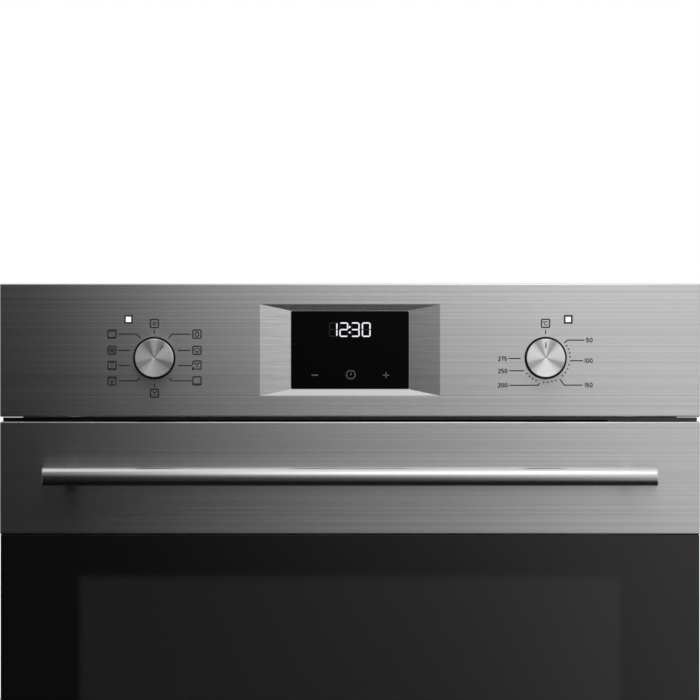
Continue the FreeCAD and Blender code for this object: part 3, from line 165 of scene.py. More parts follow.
class Graph:
    """Adds nodes to one tree and joins them."""

    def __init__(self, tree):
        self.tree = tree

    def add(self, kind, inputs=None, **options):
        node = self.tree.nodes.new("ShaderNode" + kind)
        for name, value in options.items():
            setattr(node, name, value)
        for name, value in (inputs or {}).items():
            self.feed(node.inputs[name], value)
        return node

    def feed(self, socket, value):
        if isinstance(value, bpy.types.NodeSocket):
            self.tree.links.new(value, socket)
        else:
            socket.default_value = value

    def math(self, operation, *values):
        node = self.add("Math", operation=operation)
        for socket, value in zip(node.inputs, values):
            self.feed(socket, value)
        return node.outputs[0]

    def vector(self, operation, *values):
        node = self.add("VectorMath", operation=operation)
        for socket, value in zip(node.inputs, values):
            self.feed(socket, value)
        return node.outputs["Value" if operation in ("DOT_PRODUCT", "LENGTH") else "Vector"]

    def scaled(self, vector, factor):
        node = self.add("VectorMath", operation="SCALE", inputs={"Scale": factor})
        self.feed(node.inputs[0], vector)
        return node.outputs["Vector"]

    def remap(self, value, low, high, to_low=0.0, to_high=1.0):
        """Moves a value from one range to another, and holds it at the ends."""
        sockets = {"Value": value, "From Min": low, "From Max": high, "To Min": to_low, "To Max": to_high}
        return self.add("MapRange", sockets).outputs["Result"]

    def ramp(self, value, stops, smooth=False):
        """A curve of grey levels through (position, level) stops."""
        node = self.add("ValToRGB", {"Fac": value})
        node.color_ramp.interpolation = "EASE" if smooth else "LINEAR"
        points = node.color_ramp.elements
        while len(points) < len(stops):
            points.new(0.5)
        for point, (position, level) in zip(points, sorted(stops)):
            point.position = position
            point.color = (level, level, level, 1)
        return node.outputs["Color"]

    def mix(self, factor, first, second):
        node = self.add("Mix", data_type="RGBA", clamp_factor=True)
        for index, value in ((0, factor), (6, first), (7, second)):
            self.feed(node.inputs[index], value)
        return node.outputs[2]


class Finish(Graph):
    """A material round one Principled shader, with its textures in the piece's own coordinates."""

    def __init__(self, name, colour, roughness, metallic=0.0, **fixed):
        self.material = bpy.data.materials.new(name)
        self.material.use_nodes = True
        super().__init__(self.material.node_tree)
        self.shader = self.tree.nodes["Principled BSDF"]
        self.colour = tuple(colour)[:3]
        self.put(base_color=self.shade(1), roughness=roughness, metallic=metallic, **fixed)
        self.material.diffuse_color = (*self.colour, 1)
        self.place = self.add("TexCoord").outputs["Object"]

    def put(self, **values):
        """Sets the shader's sockets, named in lower case with underscores."""
        names = {s.name.lower().replace(" ", "_"): s for s in self.shader.inputs}
        for name, value in values.items():
            self.feed(names[name], value)
        return self

    def shade(self, factor):
        return tuple(min(1, c * factor) for c in self.colour) + (1,)

    def stretched(self, scale):
        return self.add("Mapping", {"Vector": self.place, "Scale": scale}).outputs["Vector"]

    def noise(self, scale, detail=2.0, rough=0.5, stretch=(1, 1, 1), warp=0.0):
        sockets = {"Vector": self.stretched(stretch), "Scale": scale, "Detail": detail}
        sockets.update({"Roughness": rough, "Distortion": warp})
        return self.add("TexNoise", sockets).outputs["Fac"]

    def cells(self, scale, output="Distance"):
        return self.add("TexVoronoi", {"Vector": self.place, "Scale": scale}).outputs[output]

    def waves(self, scale, axis, warp):
        sockets = {"Vector": self.place, "Scale": scale, "Distortion": warp, "Detail": 1.0}
        return self.add("TexWave", sockets, bands_direction=axis).outputs["Fac"]

    def vary(self, value, low, high):
        """Darkens and lightens the colour between two factors as value goes from 0 to 1."""
        return self.put(base_color=self.mix(value, self.shade(low), self.shade(high)))

    def gloss(self, value, low, high):
        """Varies the roughness between two limits with the middle half of a texture's range."""
        return self.put(roughness=self.remap(value, 0.25, 0.75, low, high))

    def relief(self, height, depth, strength):
        """Bump of a given depth, in metres."""
        sockets = {"Height": height, "Distance": depth, "Strength": strength}
        return self.put(normal=self.add("Bump", sockets).outputs["Normal"])

    def brushed_along_x(self):
        """Turns the long side of a highlight across brushing lines that run along X."""
        normal = self.add("NewGeometry").outputs["Normal"]
        return self.put(tangent=self.vector("NORMALIZE", self.vector("CROSS_PRODUCT", normal, (1, 0.02, 0))))


# ---------------------------------------------------------------- finishes

# Pitch of the dots that fade out the black print round the door's window, and how wide their band is.
DOT_PITCH, DOT_FADE = 0.0016, 0.012
# Painted highlights and painted shade of a turned face: its brightness round its axis, clockwise from
# straight up, in degrees.
PAINTED_LIGHT_AND_SHADE_SECTORS = (
    (-180, 0.98),
    (-154, 0.97),
    (-136, 0.78),
    (-120, 0.5),
    (-108, 0.58),
    (-96, 0.88),
    (-80, 0.97),
    (-56, 0.98),
    (-44, 0.8),
    (-30, 0.46),
    (-20, 0.52),
    (-9, 0.86),
    (0, 0.95),
    (9, 0.84),
    (20, 0.5),
    (30, 0.46),
    (44, 0.82),
    (56, 0.98),
    (82, 0.97),
    (97, 0.88),
    (108, 0.54),
    (118, 0.48),
    (134, 0.8),
    (150, 0.97),
    (180, 0.98),
)


def brushed_steel(name, colour, roughness, brushing):
    """Steel with fine brushing lines along X."""
    finish = Finish(name, colour, roughness, 1.0, anisotropic=brushing)
    fine = finish.noise(1.0, 2.0, 0.6, (1.2, 240, 1050))
    broad = finish.noise(1.0, 3.0, 0.65, (0.35, 90, 430))
    streaks = finish.math("ADD", finish.math("MULTIPLY", fine, 0.45), finish.math("MULTIPLY", broad, 0.55))
    finish.vary(finish.remap(streaks, 0.34, 0.66), 0.89, 1.1)
    finish.gloss(streaks, roughness * 0.93, roughness * 1.07)
    finish.relief(streaks, 0.000004, 0.5)
    return finish.brushed_along_x().material


def turned_aluminium_painted_sectors(name, colour, centre):
    """A turned face: fine rings round the knob's axis, and light and dark sectors painted in as highlights
    and shade.
    """
    finish = Finish(name, colour, 0.4, 1.0, anisotropic=0.5)
    geometry = finish.add("NewGeometry").outputs
    from_centre = finish.vector("SUBTRACT", geometry["Position"], (centre[0], 0, centre[1]))
    flat = finish.vector("MULTIPLY", from_centre, (1, 0, 1))
    radius = finish.vector("LENGTH", flat)
    x, _, z = finish.add("SeparateXYZ", {"Vector": flat}).outputs
    turn = finish.math("DEGREES", finish.math("ARCTAN2", x, z))
    # The sectors are painted highlights and painted shade, set by the angle round the knob's axis in world
    # space, so they stay put when the knob turns.
    stops = [((angle + 180) / 360, level) for angle, level in PAINTED_LIGHT_AND_SHADE_SECTORS]
    fan = finish.ramp(finish.remap(turn, -180.0, 180.0), stops, True)
    sockets = {"W": radius, "Scale": 2600.0, "Detail": 2.0}
    rings = finish.add("TexNoise", sockets, noise_dimensions="1D").outputs[0]
    fan = finish.math("MULTIPLY", fan, finish.remap(rings, 0.3, 0.7, 0.94, 1.04))
    # Painted shade: the cap's colour darkens towards its axis, down to 0.45 at the centre, within 2.2 mm of
    # it.
    fan = finish.math("MULTIPLY", fan, finish.remap(radius, 0.0, 0.0022, 0.45, 1.0))
    finish.put(tangent=finish.vector("NORMALIZE", flat))
    return finish.vary(fan, 0.0, 1.0).gloss(rings, 0.38, 0.44).material


def black_plastic(name, colour, shine):
    finish = Finish(name, colour, 0.42, specular_ior_level=shine)
    grain = finish.noise(900, 2)
    return finish.vary(grain, 0.8, 1.25).gloss(grain, 0.38, 0.48).relief(grain, 0.00001, 0.4).material


def pane(name, colour, specular, window):
    """A black pane with a faint smear in its gloss. window is its clearer middle: half width, low, high."""
    finish = Finish(name, colour, 0.03, specular_ior_level=specular)
    smear = finish.noise(7, 3, 0.6, warp=1.0)
    finish.gloss(smear, 0.02, 0.05)
    if not window:
        return finish.vary(smear, 0.9, 1.1).material
    half, low, high = window
    parts = finish.add("SeparateXYZ", {"Vector": finish.place}).outputs
    across = finish.math("SUBTRACT", half, finish.math("ABSOLUTE", parts["X"]))
    above, below = finish.math("SUBTRACT", parts["Z"], low), finish.math("SUBTRACT", high, parts["Z"])
    inside = finish.math("MINIMUM", across, finish.math("MINIMUM", above, below))
    in_cell = finish.vector("FRACTION", finish.scaled(finish.place, 1 / DOT_PITCH))
    from_dot = finish.vector("SUBTRACT", in_cell, (0.5, 0.5, 0.5))
    spot = finish.vector("LENGTH", finish.vector("MULTIPLY", from_dot, (1, 0, 1)))
    edge = finish.remap(inside, 0.0, DOT_FADE, 0.75, 0.0)
    clear = finish.math("GREATER_THAN", spot, edge)
    see_through = finish.math("MULTIPLY", clear, finish.math("GREATER_THAN", inside, 0.0))
    return finish.vary(see_through, 0.8, 2.6).material


def clear_glass(name):
    finish = Finish(name, (0.93, 0.97, 0.95), 0.0, transmission_weight=1.0, ior=1.5)
    smear = finish.noise(14, 3, 0.6, warp=0.8)
    return finish.vary(smear, 0.98, 1.02).gloss(smear, 0.0, 0.03).material


def moulded_plastic(name):
    finish = Finish(name, (0.50, 0.50, 0.46), 0.45)
    grain = finish.noise(420, 3)
    return finish.vary(grain, 0.9, 1.08).gloss(grain, 0.4, 0.52).relief(grain, 0.00002, 0.5).material


def glowing(name, colour, strength, low=0.9, body=0.01):
    """A lit surface with a slight unevenness in its light. body is how light the material is when unlit."""
    finish = Finish(name, colour, 0.35, specular_ior_level=0.1, emission_strength=strength)
    uneven = finish.noise(500, 1)
    finish.vary(uneven, low * body, body)
    return finish.put(emission_color=finish.mix(uneven, finish.shade(low), finish.shade(1.0))).material


def galvanised(name):
    """Zinc-coated sheet with its spangle."""
    finish = Finish(name, (0.56, 0.57, 0.58), 0.4, 0.92)
    spangle = finish.cells(95, output="Color")
    level = finish.vector("DOT_PRODUCT", spangle, (0.34, 0.33, 0.33))
    haze = finish.noise(6, 4, 0.6)
    both = finish.math("ADD", finish.math("MULTIPLY", level, 0.6), finish.math("MULTIPLY", haze, 0.4))
    return finish.vary(both, 0.8, 1.15).gloss(level, 0.3, 0.5).material


def cast_metal(name):
    finish = Finish(name, (0.58, 0.58, 0.57), 0.45, 1.0)
    grain = finish.noise(260, 4, 0.6)
    return finish.vary(grain, 0.82, 1.12).gloss(grain, 0.36, 0.55).relief(grain, 0.00008, 0.5).material


def motor_steel(name):
    """Stacked laminations with a dull oxide."""
    finish = Finish(name, (0.26, 0.27, 0.29), 0.42, 0.9)
    stack = finish.waves(180, "Y", 0.4)
    haze = finish.noise(40, 3)
    return finish.vary(haze, 0.75, 1.2).gloss(haze, 0.35, 0.5).relief(stack, 0.0001, 0.5).material


def painted_steel(name):
    finish = Finish(name, (0.016, 0.016, 0.017), 0.38)
    peel = finish.noise(380, 2)
    return finish.vary(peel, 0.85, 1.2).gloss(peel, 0.32, 0.42).relief(peel, 0.00003, 0.5).material


def enamel(name, colour, speck, density):
    """Fired enamel with pale specks and a slight orange peel."""
    finish = Finish(name, colour, 0.16, coat_weight=0.3, coat_roughness=0.05)
    near = finish.cells(density)
    size = finish.noise(density * 0.7, 0)
    specks = finish.math("LESS_THAN", near, finish.remap(size, 0.35, 0.7, 0.05, 0.24))
    finish.put(base_color=finish.mix(specks, finish.shade(1.0), (speck, speck, speck * 1.02, 1)))
    peel = finish.noise(130, 2)
    return finish.gloss(peel, 0.12, 0.2).relief(peel, 0.00008, 0.4).material


def seal_braid(name):
    """A braided oven seal."""
    finish = Finish(name, (0.045, 0.045, 0.048), 0.85, sheen_weight=0.3)
    one, two = finish.waves(330, "X", 1.0), finish.waves(330, "Z", 1.0)
    weave = finish.math("MAXIMUM", one, two)
    return finish.vary(weave, 0.6, 1.3).relief(weave, 0.0002, 0.8).material


def glass_wool(name):
    finish = Finish(name, (0.74, 0.70, 0.55), 0.95, sheen_weight=0.2)
    fibres = finish.noise(60, 6, 0.75, (1, 5, 1), 1.4)
    tufts = finish.noise(18, 3)
    return finish.vary(fibres, 0.72, 1.15).relief(finish.math("ADD", fibres, tufts), 0.004, 0.7).material


def element_sheath(name):
    """A heated metal sheath, with brown and blue temper colours along it."""
    finish = Finish(name, (0.10, 0.085, 0.075), 0.42, 0.7)
    temper = finish.noise(22, 3, 0.6)
    brown, blue = (0.13, 0.09, 0.06, 1), (0.07, 0.08, 0.10, 1)
    finish.put(base_color=finish.mix(finish.remap(temper, 0.35, 0.65), brown, blue))
    return finish.gloss(temper, 0.35, 0.5).material


def ceramic(name):
    finish = Finish(name, (0.80, 0.78, 0.73), 0.35)
    grain = finish.noise(200, 3)
    return finish.vary(grain, 0.94, 1.03).gloss(grain, 0.28, 0.42).relief(grain, 0.00004, 0.4).material


def chromed_wire(name):
    finish = Finish(name, (0.82, 0.83, 0.84), 0.1, 1.0)
    haze = finish.noise(70, 3, 0.6)
    return finish.vary(haze, 0.93, 1.04).gloss(haze, 0.06, 0.14).relief(haze, 0.00003, 0.4).material


def copper(name):
    finish = Finish(name, (0.72, 0.36, 0.22), 0.3, 1.0)
    haze = finish.noise(60, 3, 0.6)
    return finish.vary(haze, 0.7, 1.08).gloss(haze, 0.22, 0.42).material


def plated_steel(name):
    """Zinc-plated steel with a faint blue and yellow passivation."""
    finish = Finish(name, (0.60, 0.61, 0.62), 0.3, 1.0)
    film = finish.noise(45, 2)
    blue, yellow = (0.56, 0.59, 0.63, 1), (0.66, 0.64, 0.57, 1)
    finish.put(base_color=finish.mix(finish.remap(film, 0.4, 0.6), blue, yellow))
    return finish.gloss(film, 0.24, 0.38).material


def ink(name, colour):
    """Screen-printed ink with a fine grain, also used for the painted shade in the knobs' marker grooves."""
    finish = Finish(name, colour, 0.5, specular_ior_level=0.3)
    grain = finish.noise(2500, 2)
    return finish.vary(grain, 0.8, 1.25).gloss(grain, 0.45, 0.6).material


def stage_paint(name, colour):
    finish = Finish(name, colour, 0.75, specular_ior_level=0.15)
    grain = finish.noise(3, 2)
    return finish.vary(grain, 0.985, 1.015).material


def coat(nodes, material):
    """Puts a material in every slot of CAD nodes."""
    for name in nodes:
        mesh = frame["nodes"][name].data
        if not mesh.materials:
            mesh.materials.append(material)
        for index in range(len(mesh.materials)):
            mesh.materials[index] = material


def nodes_of(slot):
    return sorted(n for n, s in SLOT_OF.items() if s == slot)


def smooth_edges(nodes):
    """Shades curved CAD faces smoothly and keeps their edges sharp."""
    for name in nodes:
        mesh = frame["nodes"][name].data
        mesh.shade_smooth()
        mesh.set_sharp_from_angle(angle=SHARP_ANGLE)


# ---------------------------------------------------------------- flat marks


def bow(x, z, wide, tall, start, end, steps=8):
    """Points on an oval arc with two half widths. Angles are clockwise from straight up, in degrees."""
    turn = [math.radians(start + (end - start) * i / steps) for i in range(steps + 1)]
    return [(x + wide * math.sin(t), z + tall * math.cos(t)) for t in turn]


def arc(x, z, radius, start, end, steps=10, flatten=1.0):
    """Points on a round arc, which flatten narrows along X."""
    return bow(x, z, radius * flatten, radius, start, end, steps)


def rounded_square(half, corner, gap=None):
    """A square's outline with round corners, clockwise. gap names a corner to leave open."""
    inner = half - corner
    quarter = {"right_top": (inner, inner, 0), "right_low": (inner, -inner, 90)}
    quarter.update({"left_low": (-inner, -inner, 180), "left_top": (-inner, inner, 270)})
    order = ["right_top", "right_low", "left_low", "left_top"]
    if gap:
        first = order.index(gap) + 1
        order = (order[first:] + order[:first])[:-1]
    points = []
    for name in order:
        x, z, start = quarter[name]
        points += arc(x, z, corner, start, start + 90, 4)
    if gap:
        x, z, _ = quarter[gap]
        points = [(math.copysign(half, x), z * 0.1)] + points + [(x * 0.45, math.copysign(half, z))]
    return points


# Strokes of each figure, in a box from (0, 0) to (1, 1).
ROUND_ZERO = bow(0.5, 0.5, 0.5, 0.5, 0, 337.5, 15)
FIGURES = {
    "0": [ROUND_ZERO + ROUND_ZERO[:1]],
    "1": [[(0.1, 0.78), (0.85, 1.0), (0.85, 0.0)]],
    "2": [bow(0.5, 0.7, 0.47, 0.3, -75, 115) + [(0.04, 0.0), (1.0, 0.0)]],
    "3": [bow(0.45, 0.74, 0.42, 0.26, -65, 170) + bow(0.45, 0.26, 0.5, 0.26, 10, 245)],
    "4": [[(1.0, 0.28), (0.0, 0.28), (0.7, 1.0), (0.7, 0.0)]],
    "5": [[(0.92, 1.0), (0.16, 1.0), (0.08, 0.55)] + bow(0.46, 0.33, 0.5, 0.33, -35, 235)],
    "7": [[(0.0, 1.0), (1.0, 1.0), (0.36, 0.0)]],
}
# Widths of the figures that aren't as wide as the others.
FIGURE_WIDTH = {"0": 1.12, "1": 0.5}
# Part of a mark's depth that goes into the surface under it.
SINK = 0.4


class Marks:
    """Flat marks, drawn in millimetres round a centre, that become one thin closed mesh."""

    def __init__(self, centre, surface, depth):
        self.centre = centre
        self.front = surface - depth
        self.back = surface + depth * SINK
        self.mesh = bmesh.new()

    def corner(self, point, y):
        return self.mesh.verts.new((self.centre[0] + point[0] * MM, y, self.centre[1] + point[1] * MM))

    def wall(self, front, back, closed):
        """The faces between a front line of corners and the back line behind it."""
        count = len(front)
        for i in range(count if closed else count - 1):
            j = (i + 1) % count
            self.mesh.faces.new((front[i], front[j], back[j], back[i]))

    def plate(self, outline):
        """A filled shape."""
        front = [self.corner(p, self.front) for p in outline]
        back = [self.corner(p, self.back) for p in outline]
        self.mesh.faces.new(front)
        self.mesh.faces.new(back[::-1])
        self.wall(front, back, True)

    def band(self, left, right, closed):
        """A strip between two lines of points, closed on itself or with two square ends."""
        lines = [[self.corner(p, y) for p in line] for line in (left, right) for y in (self.front, self.back)]
        left_front, left_back, right_front, right_back = lines
        self.wall(left_front, right_front, closed)
        self.wall(left_back, right_back, closed)
        self.wall(left_front, left_back, closed)
        self.wall(right_front, right_back, closed)
        if not closed:
            for i in (0, -1):
                self.mesh.faces.new((left_front[i], left_back[i], right_back[i], right_front[i]))

    def line(self, points, width, closed=False):
        """A line of even width with mitred corners."""
        spots = [Vector(p) for p in points]
        count = len(spots)
        left, right = [], []
        for i, spot in enumerate(spots):
            row = [spot]
            if closed or i:
                row.insert(0, spots[i - 1])
            if closed or i < count - 1:
                row.append(spots[(i + 1) % count])
            runs = [(end - start).normalized() for start, end in zip(row, row[1:])]
            normal = sum((Vector((-r.y, r.x)) for r in runs), Vector((0, 0))).normalized()
            reach = width / 2 / max(0.35, normal.dot(Vector((-runs[0].y, runs[0].x))))
            left.append(spot + normal * reach)
            right.append(spot - normal * reach)
        self.band(left, right, closed)

    def disc(self, x, z, radius, steps=14):
        self.plate(arc(x, z, radius, 0, 360 * (steps - 1) / steps, steps - 1))

    def shifted(self, x, z):
        """The same mesh, drawn round a centre moved by (x, z) millimetres."""
        moved = object.__new__(Marks)
        moved.centre = (self.centre[0] + x * MM, self.centre[1] + z * MM)
        moved.front, moved.back, moved.mesh = self.front, self.back, self.mesh
        return moved

    def words(self, text, left, right, low, high, weight):
        """Figures drawn with round strokes, spaced evenly over a box."""
        gap = weight * 0.35
        widths = [FIGURE_WIDTH.get(c, 1.0) for c in text]
        unit = (right - left - gap * (len(text) - 1)) / sum(widths)
        at = left
        for figure, part in zip(text, widths):
            wide, tall = unit * part - weight, high - low - weight
            for points in FIGURES[figure]:
                spots = [(at + weight / 2 + x * wide, low + weight / 2 + z * tall) for x, z in points]
                closed = spots[0] == spots[-1]
                self.line(spots[:-1] if closed else spots, weight, closed)
            at += unit * part + gap

    def finish(self, name, material, body="chassis", slot=None):
        """Makes the piece, which then rides on its body."""
        bmesh.ops.remove_doubles(self.mesh, verts=self.mesh.verts, dist=1e-7)
        bmesh.ops.recalc_face_normals(self.mesh, faces=self.mesh.faces)
        data = bpy.data.meshes.new(name)
        self.mesh.to_mesh(data)
        self.mesh.free()
        if not data.polygons:
            raise RuntimeError(f"{name} has no faces")
        data.materials.append(material)
        piece = bpy.data.objects.new(name, data)
        bpy.context.scene.collection.objects.link(piece)
        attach(piece, body)
        return piece


# ---------------------------------------------------------------- symbols of the function dial


# Outline of a fan blade: (part of its reach, part of its width).
BLADE = ((0, 0.15), (0.45, 0.6), (0.8, 1.0), (1.0, 0.55))


def fan(marks, angles, reach, width, z=0.0):
    """Blades at several angles round a hub, z above the symbol's middle."""
    hub = Vector((0.0, z))
    for angle in angles:
        t = math.radians(angle)
        out, side = Vector((math.sin(t), math.cos(t))), Vector((math.cos(t), -math.sin(t)))
        left = [hub + out * reach * a - side * width / 2 * b for a, b in BLADE]
        right = [hub + out * reach * a + side * width / 2 * b for a, b in BLADE]
        marks.plate(left + right[::-1])
    marks.disc(0, z, width * 0.34)


def symbol_frame(marks, sizes, gap=None):
    """The rounded frame round a symbol, whose outline runs along the middle of its line."""
    weight = sizes.frame_line / MM
    half = sizes.frame_size / MM / 2 - weight / 2
    marks.line(rounded_square(half, FRAME_CORNER, gap), weight, gap is None)


def symbol_light(marks):
    marks.line(arc(0, -0.1, 1.35, 0, 324, 9, 0.75), 0.7, True)
    for x in (-1, 1):
        marks.line([(x * 1.9, 1.7), (x * 2.5, 2.3)], 0.6)
        marks.line([(x * 2.0, -0.2), (x * 2.6, -0.2)], 0.5)


def symbol_two_heats(marks):
    marks.line([(-3.1, 2.75), (-1.0, 2.45), (1.0, 2.45), (3.1, 2.75)], 0.75)
    marks.line([(-3.1, -2.75), (3.1, -2.75)], 0.75)


def symbol_fan_heats(marks):
    fan(marks, (40, 140, 220, 320), 2.9, 1.9)
    for x in (-1, 1):
        marks.line([(x * 1.1, 0), (x * 3.0, 0)], 0.8)


def symbol_grill_small(marks):
    marks.line([(-2.0, 2.2), (2.0, 2.2)], 0.85)
    for x in (-0.9, 0.9):
        marks.disc(x, 0, 0.4)
        marks.disc(x, -1.3, 0.35)
    marks.line([(-3.0, -2.6), (-1.5, -2.9), (0, -2.6), (1.5, -2.9), (3.0, -2.6)], 0.6)


def symbol_grill_fan(marks):
    marks.line([(-3.1, 2.3), (3.1, 2.3)], 0.75)
    fan(marks, (-62, 62, 180), 2.1, 1.7, -0.7)


def symbol_ring_fan(marks):
    fan(marks, (-55, 55, 180), 2.2, 1.35, 0.2)
    for side in (-1, 1):
        marks.line(arc(0, 0, 3.0, side * 100, side * 150, 5), 0.6)
        marks.line(arc(0, 0, 3.0, side * 20, side * 62, 5), 0.5)


def symbol_ring(marks):
    marks.line(arc(0, -0.2, 1.9, 0, 330, 11, 0.8), 0.9, True)
    marks.line([(0, 1.6), (0, 2.7)], 0.7)


def symbol_dome(marks):
    marks.line(arc(0, -0.5, 2.5, -90, 90, 10), 0.7)
    marks.plate([(-1.5, -1.5), (1.5, -1.5), (0.8, -0.4), (-0.8, -0.4)])
    marks.line([(-2.0, -2.2), (2.0, -2.2)], 0.6)


def symbol_fan_drop(marks):
    fan(marks, (-58, 58, 180), 2.5, 1.5, 0.4)
    drop = arc(-3.1, -3.1, 1.25, 50, 310, 12)
    marks.plate([(-3.1, -0.9)] + drop)


def symbol_low_heat(marks):
    marks.line([(-3.1, -2.5), (3.1, -2.5)], 0.75)


# Each symbol's place from the knob's axis, its drawing, and the corner that its frame leaves open.
SYMBOLS = (
    (0.0, 29.4, symbol_light, None),
    (-36.1, 20.3, symbol_two_heats, None),
    (-36.1, 6.6, symbol_fan_heats, None),
    (-36.1, -6.3, symbol_grill_small, None),
    (-36.1, -19.6, symbol_grill_fan, None),
    (0.1, -30.0, symbol_ring_fan, None),
    (36.3, 20.3, symbol_ring, None),
    (36.3, 6.5, symbol_dome, None),
    (36.3, -6.0, symbol_fan_drop, "left_low"),
    (36.3, -19.5, symbol_low_heat, None),
)
FUNCTION_LEADERS = (
    ((0, 20.5), (0, 23.7)),
    ((0.1, -22.1), (0.1, -24.8)),
    ((-30.7, 20.3), (-14.8, 20.3), (-11.8, 17.0)),
    ((-30.9, 6.4), (-20.5, 6.4)),
    ((-30.6, -6.5), (-20.3, -6.5)),
    ((-30.5, -19.5), (-14.5, -19.5), (-12.5, -17.1)),
    ((12.0, 16.8), (15.0, 20.3), (30.8, 20.3)),
    ((19.9, 6.4), (30.8, 6.4)),
    ((20.2, -6.5), (32.0, -6.5)),
    ((12.6, -17.2), (14.9, -19.5), (32.0, -19.5)),
)
TEMPERATURE_LEADERS = (
    ((0, 20.3), (0, 23.8)),
    ((33.0, 15.2), (18.8, 15.2), (15.8, 12.9)),
    ((31.7, -2.3), (20.7, -2.3)),
    ((31.4, -23.1), (15.8, -23.1), (12.0, -17.9)),
    ((-31.0, -23.2), (-6.3, -23.2), (-5.3, -21.3)),
    ((-31.1, -10.9), (-18.4, -10.9)),
    ((-31.7, -0.4), (-21.5, -0.4)),
)
# Each figure, its left and right limits, and the height of its middle.
TEMPERATURES = (
    ("50", 34.3, 40.1, 15.2),
    ("100", 32.7, 40.1, -2.3),
    ("150", 32.9, 40.1, -23.1),
    ("200", -40.7, -32.3, -23.2),
    ("250", -40.5, -32.5, -11.1),
    ("275", -40.5, -33.0, -0.6),
)
FRAME_CORNER = 0.9
# Where each knob's marker points in the rest pose, and the two ends of its line from the knob's axis.
MARKER_TURN = {"function": 36.0, "temperature": 0.0}
MARKER_INNER, MARKER_OUTER, MARKER_WIDTH = 8.4, 13.3, 0.85
# How far the marker's strip of painted shade, standing for the dark floor of its groove, is sunk below the
# front of a cap.
MARKER_DEPTH = 0.00012
# The gaps between these angles hold the temperature dial's dots.
DIAL_ANGLES = (50.7, 96.3, 146.2, 194.0, 239.5)
DOT_RING = 20.8
DOTS_BETWEEN = 4

# The lit segments of each clock figure, the cell that each figure fills, and the figures' height.
SEGMENTS = {"0": "abcdef", "1": "bc", "2": "abged", "3": "abgcd"}
CLOCK_CELLS = (("1", -18.05, -10.6), ("2", -9.1, -1.4), ("3", 0.8, 8.3), ("0", 10.0, 17.6))
CLOCK_LOW, CLOCK_HIGH = 11.3, 23.8
COLON_X, COLON_HEIGHTS, COLON_RADIUS = -0.26, (19.8, 15.2), 0.85
# Straight strokes of the minus and plus marks: both ends and the width.
TOUCH_STROKES = (
    ((-32.8, -21.2), (-27.2, -21.2), 1.1),
    ((28.0, -21.2), (30.25, -21.2), 0.9),
    ((31.15, -21.2), (33.4, -21.2), 0.9),
    ((30.7, -18.5), (30.7, -23.9), 0.9),
)


def segment(marks, name, left, right, stroke):
    """One segment of a clock figure, with pointed ends."""
    half = stroke / 2
    x0, x1 = left + half, right - half
    z0, z1 = CLOCK_LOW + half, CLOCK_HIGH - half
    zm = (z0 + z1) / 2
    ends = {"a": (x0, z1, x1, z1), "g": (x0, zm, x1, zm), "d": (x0, z0, x1, z0)}
    ends.update({"f": (x0, z1, x0, zm), "b": (x1, z1, x1, zm), "e": (x0, zm, x0, z0), "c": (x1, zm, x1, z0)})
    ax, az, bx, bz = ends[name]
    along = Vector((bx - ax, bz - az)).normalized()
    side = Vector((-along.y, along.x)) * half * 0.92
    start, end = Vector((ax, az)) + along * 0.1, Vector((bx, bz)) - along * 0.1
    near, far = start + along * half, end - along * half
    marks.plate([start, near + side, far + side, end, far - side, near - side])


# ---------------------------------------------------------------- operators


class OvenOperator(bpy.types.Operator):
    """What the oven's operators share."""

    bl_options = {"REGISTER", "UNDO"}


class OVEN_OT_fronts(OvenOperator):
    """Brushed steel of the fascia, the door's panels and the handle"""

    bl_idname = "oven.fronts"
    bl_label = "Steel fronts and handle"

    def execute(self, context):
        look = settings()[0]
        steel = brushed_steel("brushed_steel_fronts", look.steel, look.steel_roughness, look.brushing)
        coat(nodes_of("stainless"), steel)
        handle = tuple(min(1, c * 1.1) for c in look.steel)
        coat(nodes_of("stainless_bright"), brushed_steel("brushed_steel_handle", handle, 0.2, look.brushing))
        smooth_edges(nodes_of("stainless") + nodes_of("stainless_bright"))
        return {"FINISHED"}


class OVEN_OT_knobs(OvenOperator):
    """Turned caps with painted highlights and shade, black skirts, and the painted shade of the markers of
    both knobs
    """

    bl_idname = "oven.knobs"
    bl_label = "Knobs"

    def execute(self, context):
        look, sizes, _ = settings()
        for name, centre in (("function", FUNCTION_CENTRE), ("temperature", TEMPERATURE_CENTRE)):
            cap = f"{name}_knob_cap"
            coat([cap], turned_aluminium_painted_sectors(f"turned_{name}_cap", look.knob, centre))
            smooth_edges([cap, f"{name}_knob_core"])
            turn = math.radians(MARKER_TURN[name])
            # The marker is a strip of painted shade laid into its groove, in the print's dark colour.
            marker = Marks(centre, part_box(cap)[0].y + MARKER_DEPTH, sizes.ink_depth)
            ends = [(r * math.sin(turn), r * math.cos(turn)) for r in (MARKER_INNER, MARKER_OUTER)]
            marker.line(ends, MARKER_WIDTH)
            marker.finish(f"{name}_knob_marker", ink(f"{name}_marker_ink", look.ink), f"{name}_knob")
        return {"FINISHED"}


class OVEN_OT_lamps(OvenOperator):
    """Glowing lenses of the two signal lamps"""

    bl_idname = "oven.lamps"
    bl_label = "Signal lamps"

    def execute(self, context):
        coat(["indicator_bezels"], black_plastic("lamp_frames", (0.045, 0.045, 0.046), 0.3))
        lens = glowing("signal_lens", (1.0, 1.0, 1.0), settings()[0].lamp_glow, 0.96, 0.5)
        coat(nodes_of("lamp_white"), lens)
        return {"FINISHED"}


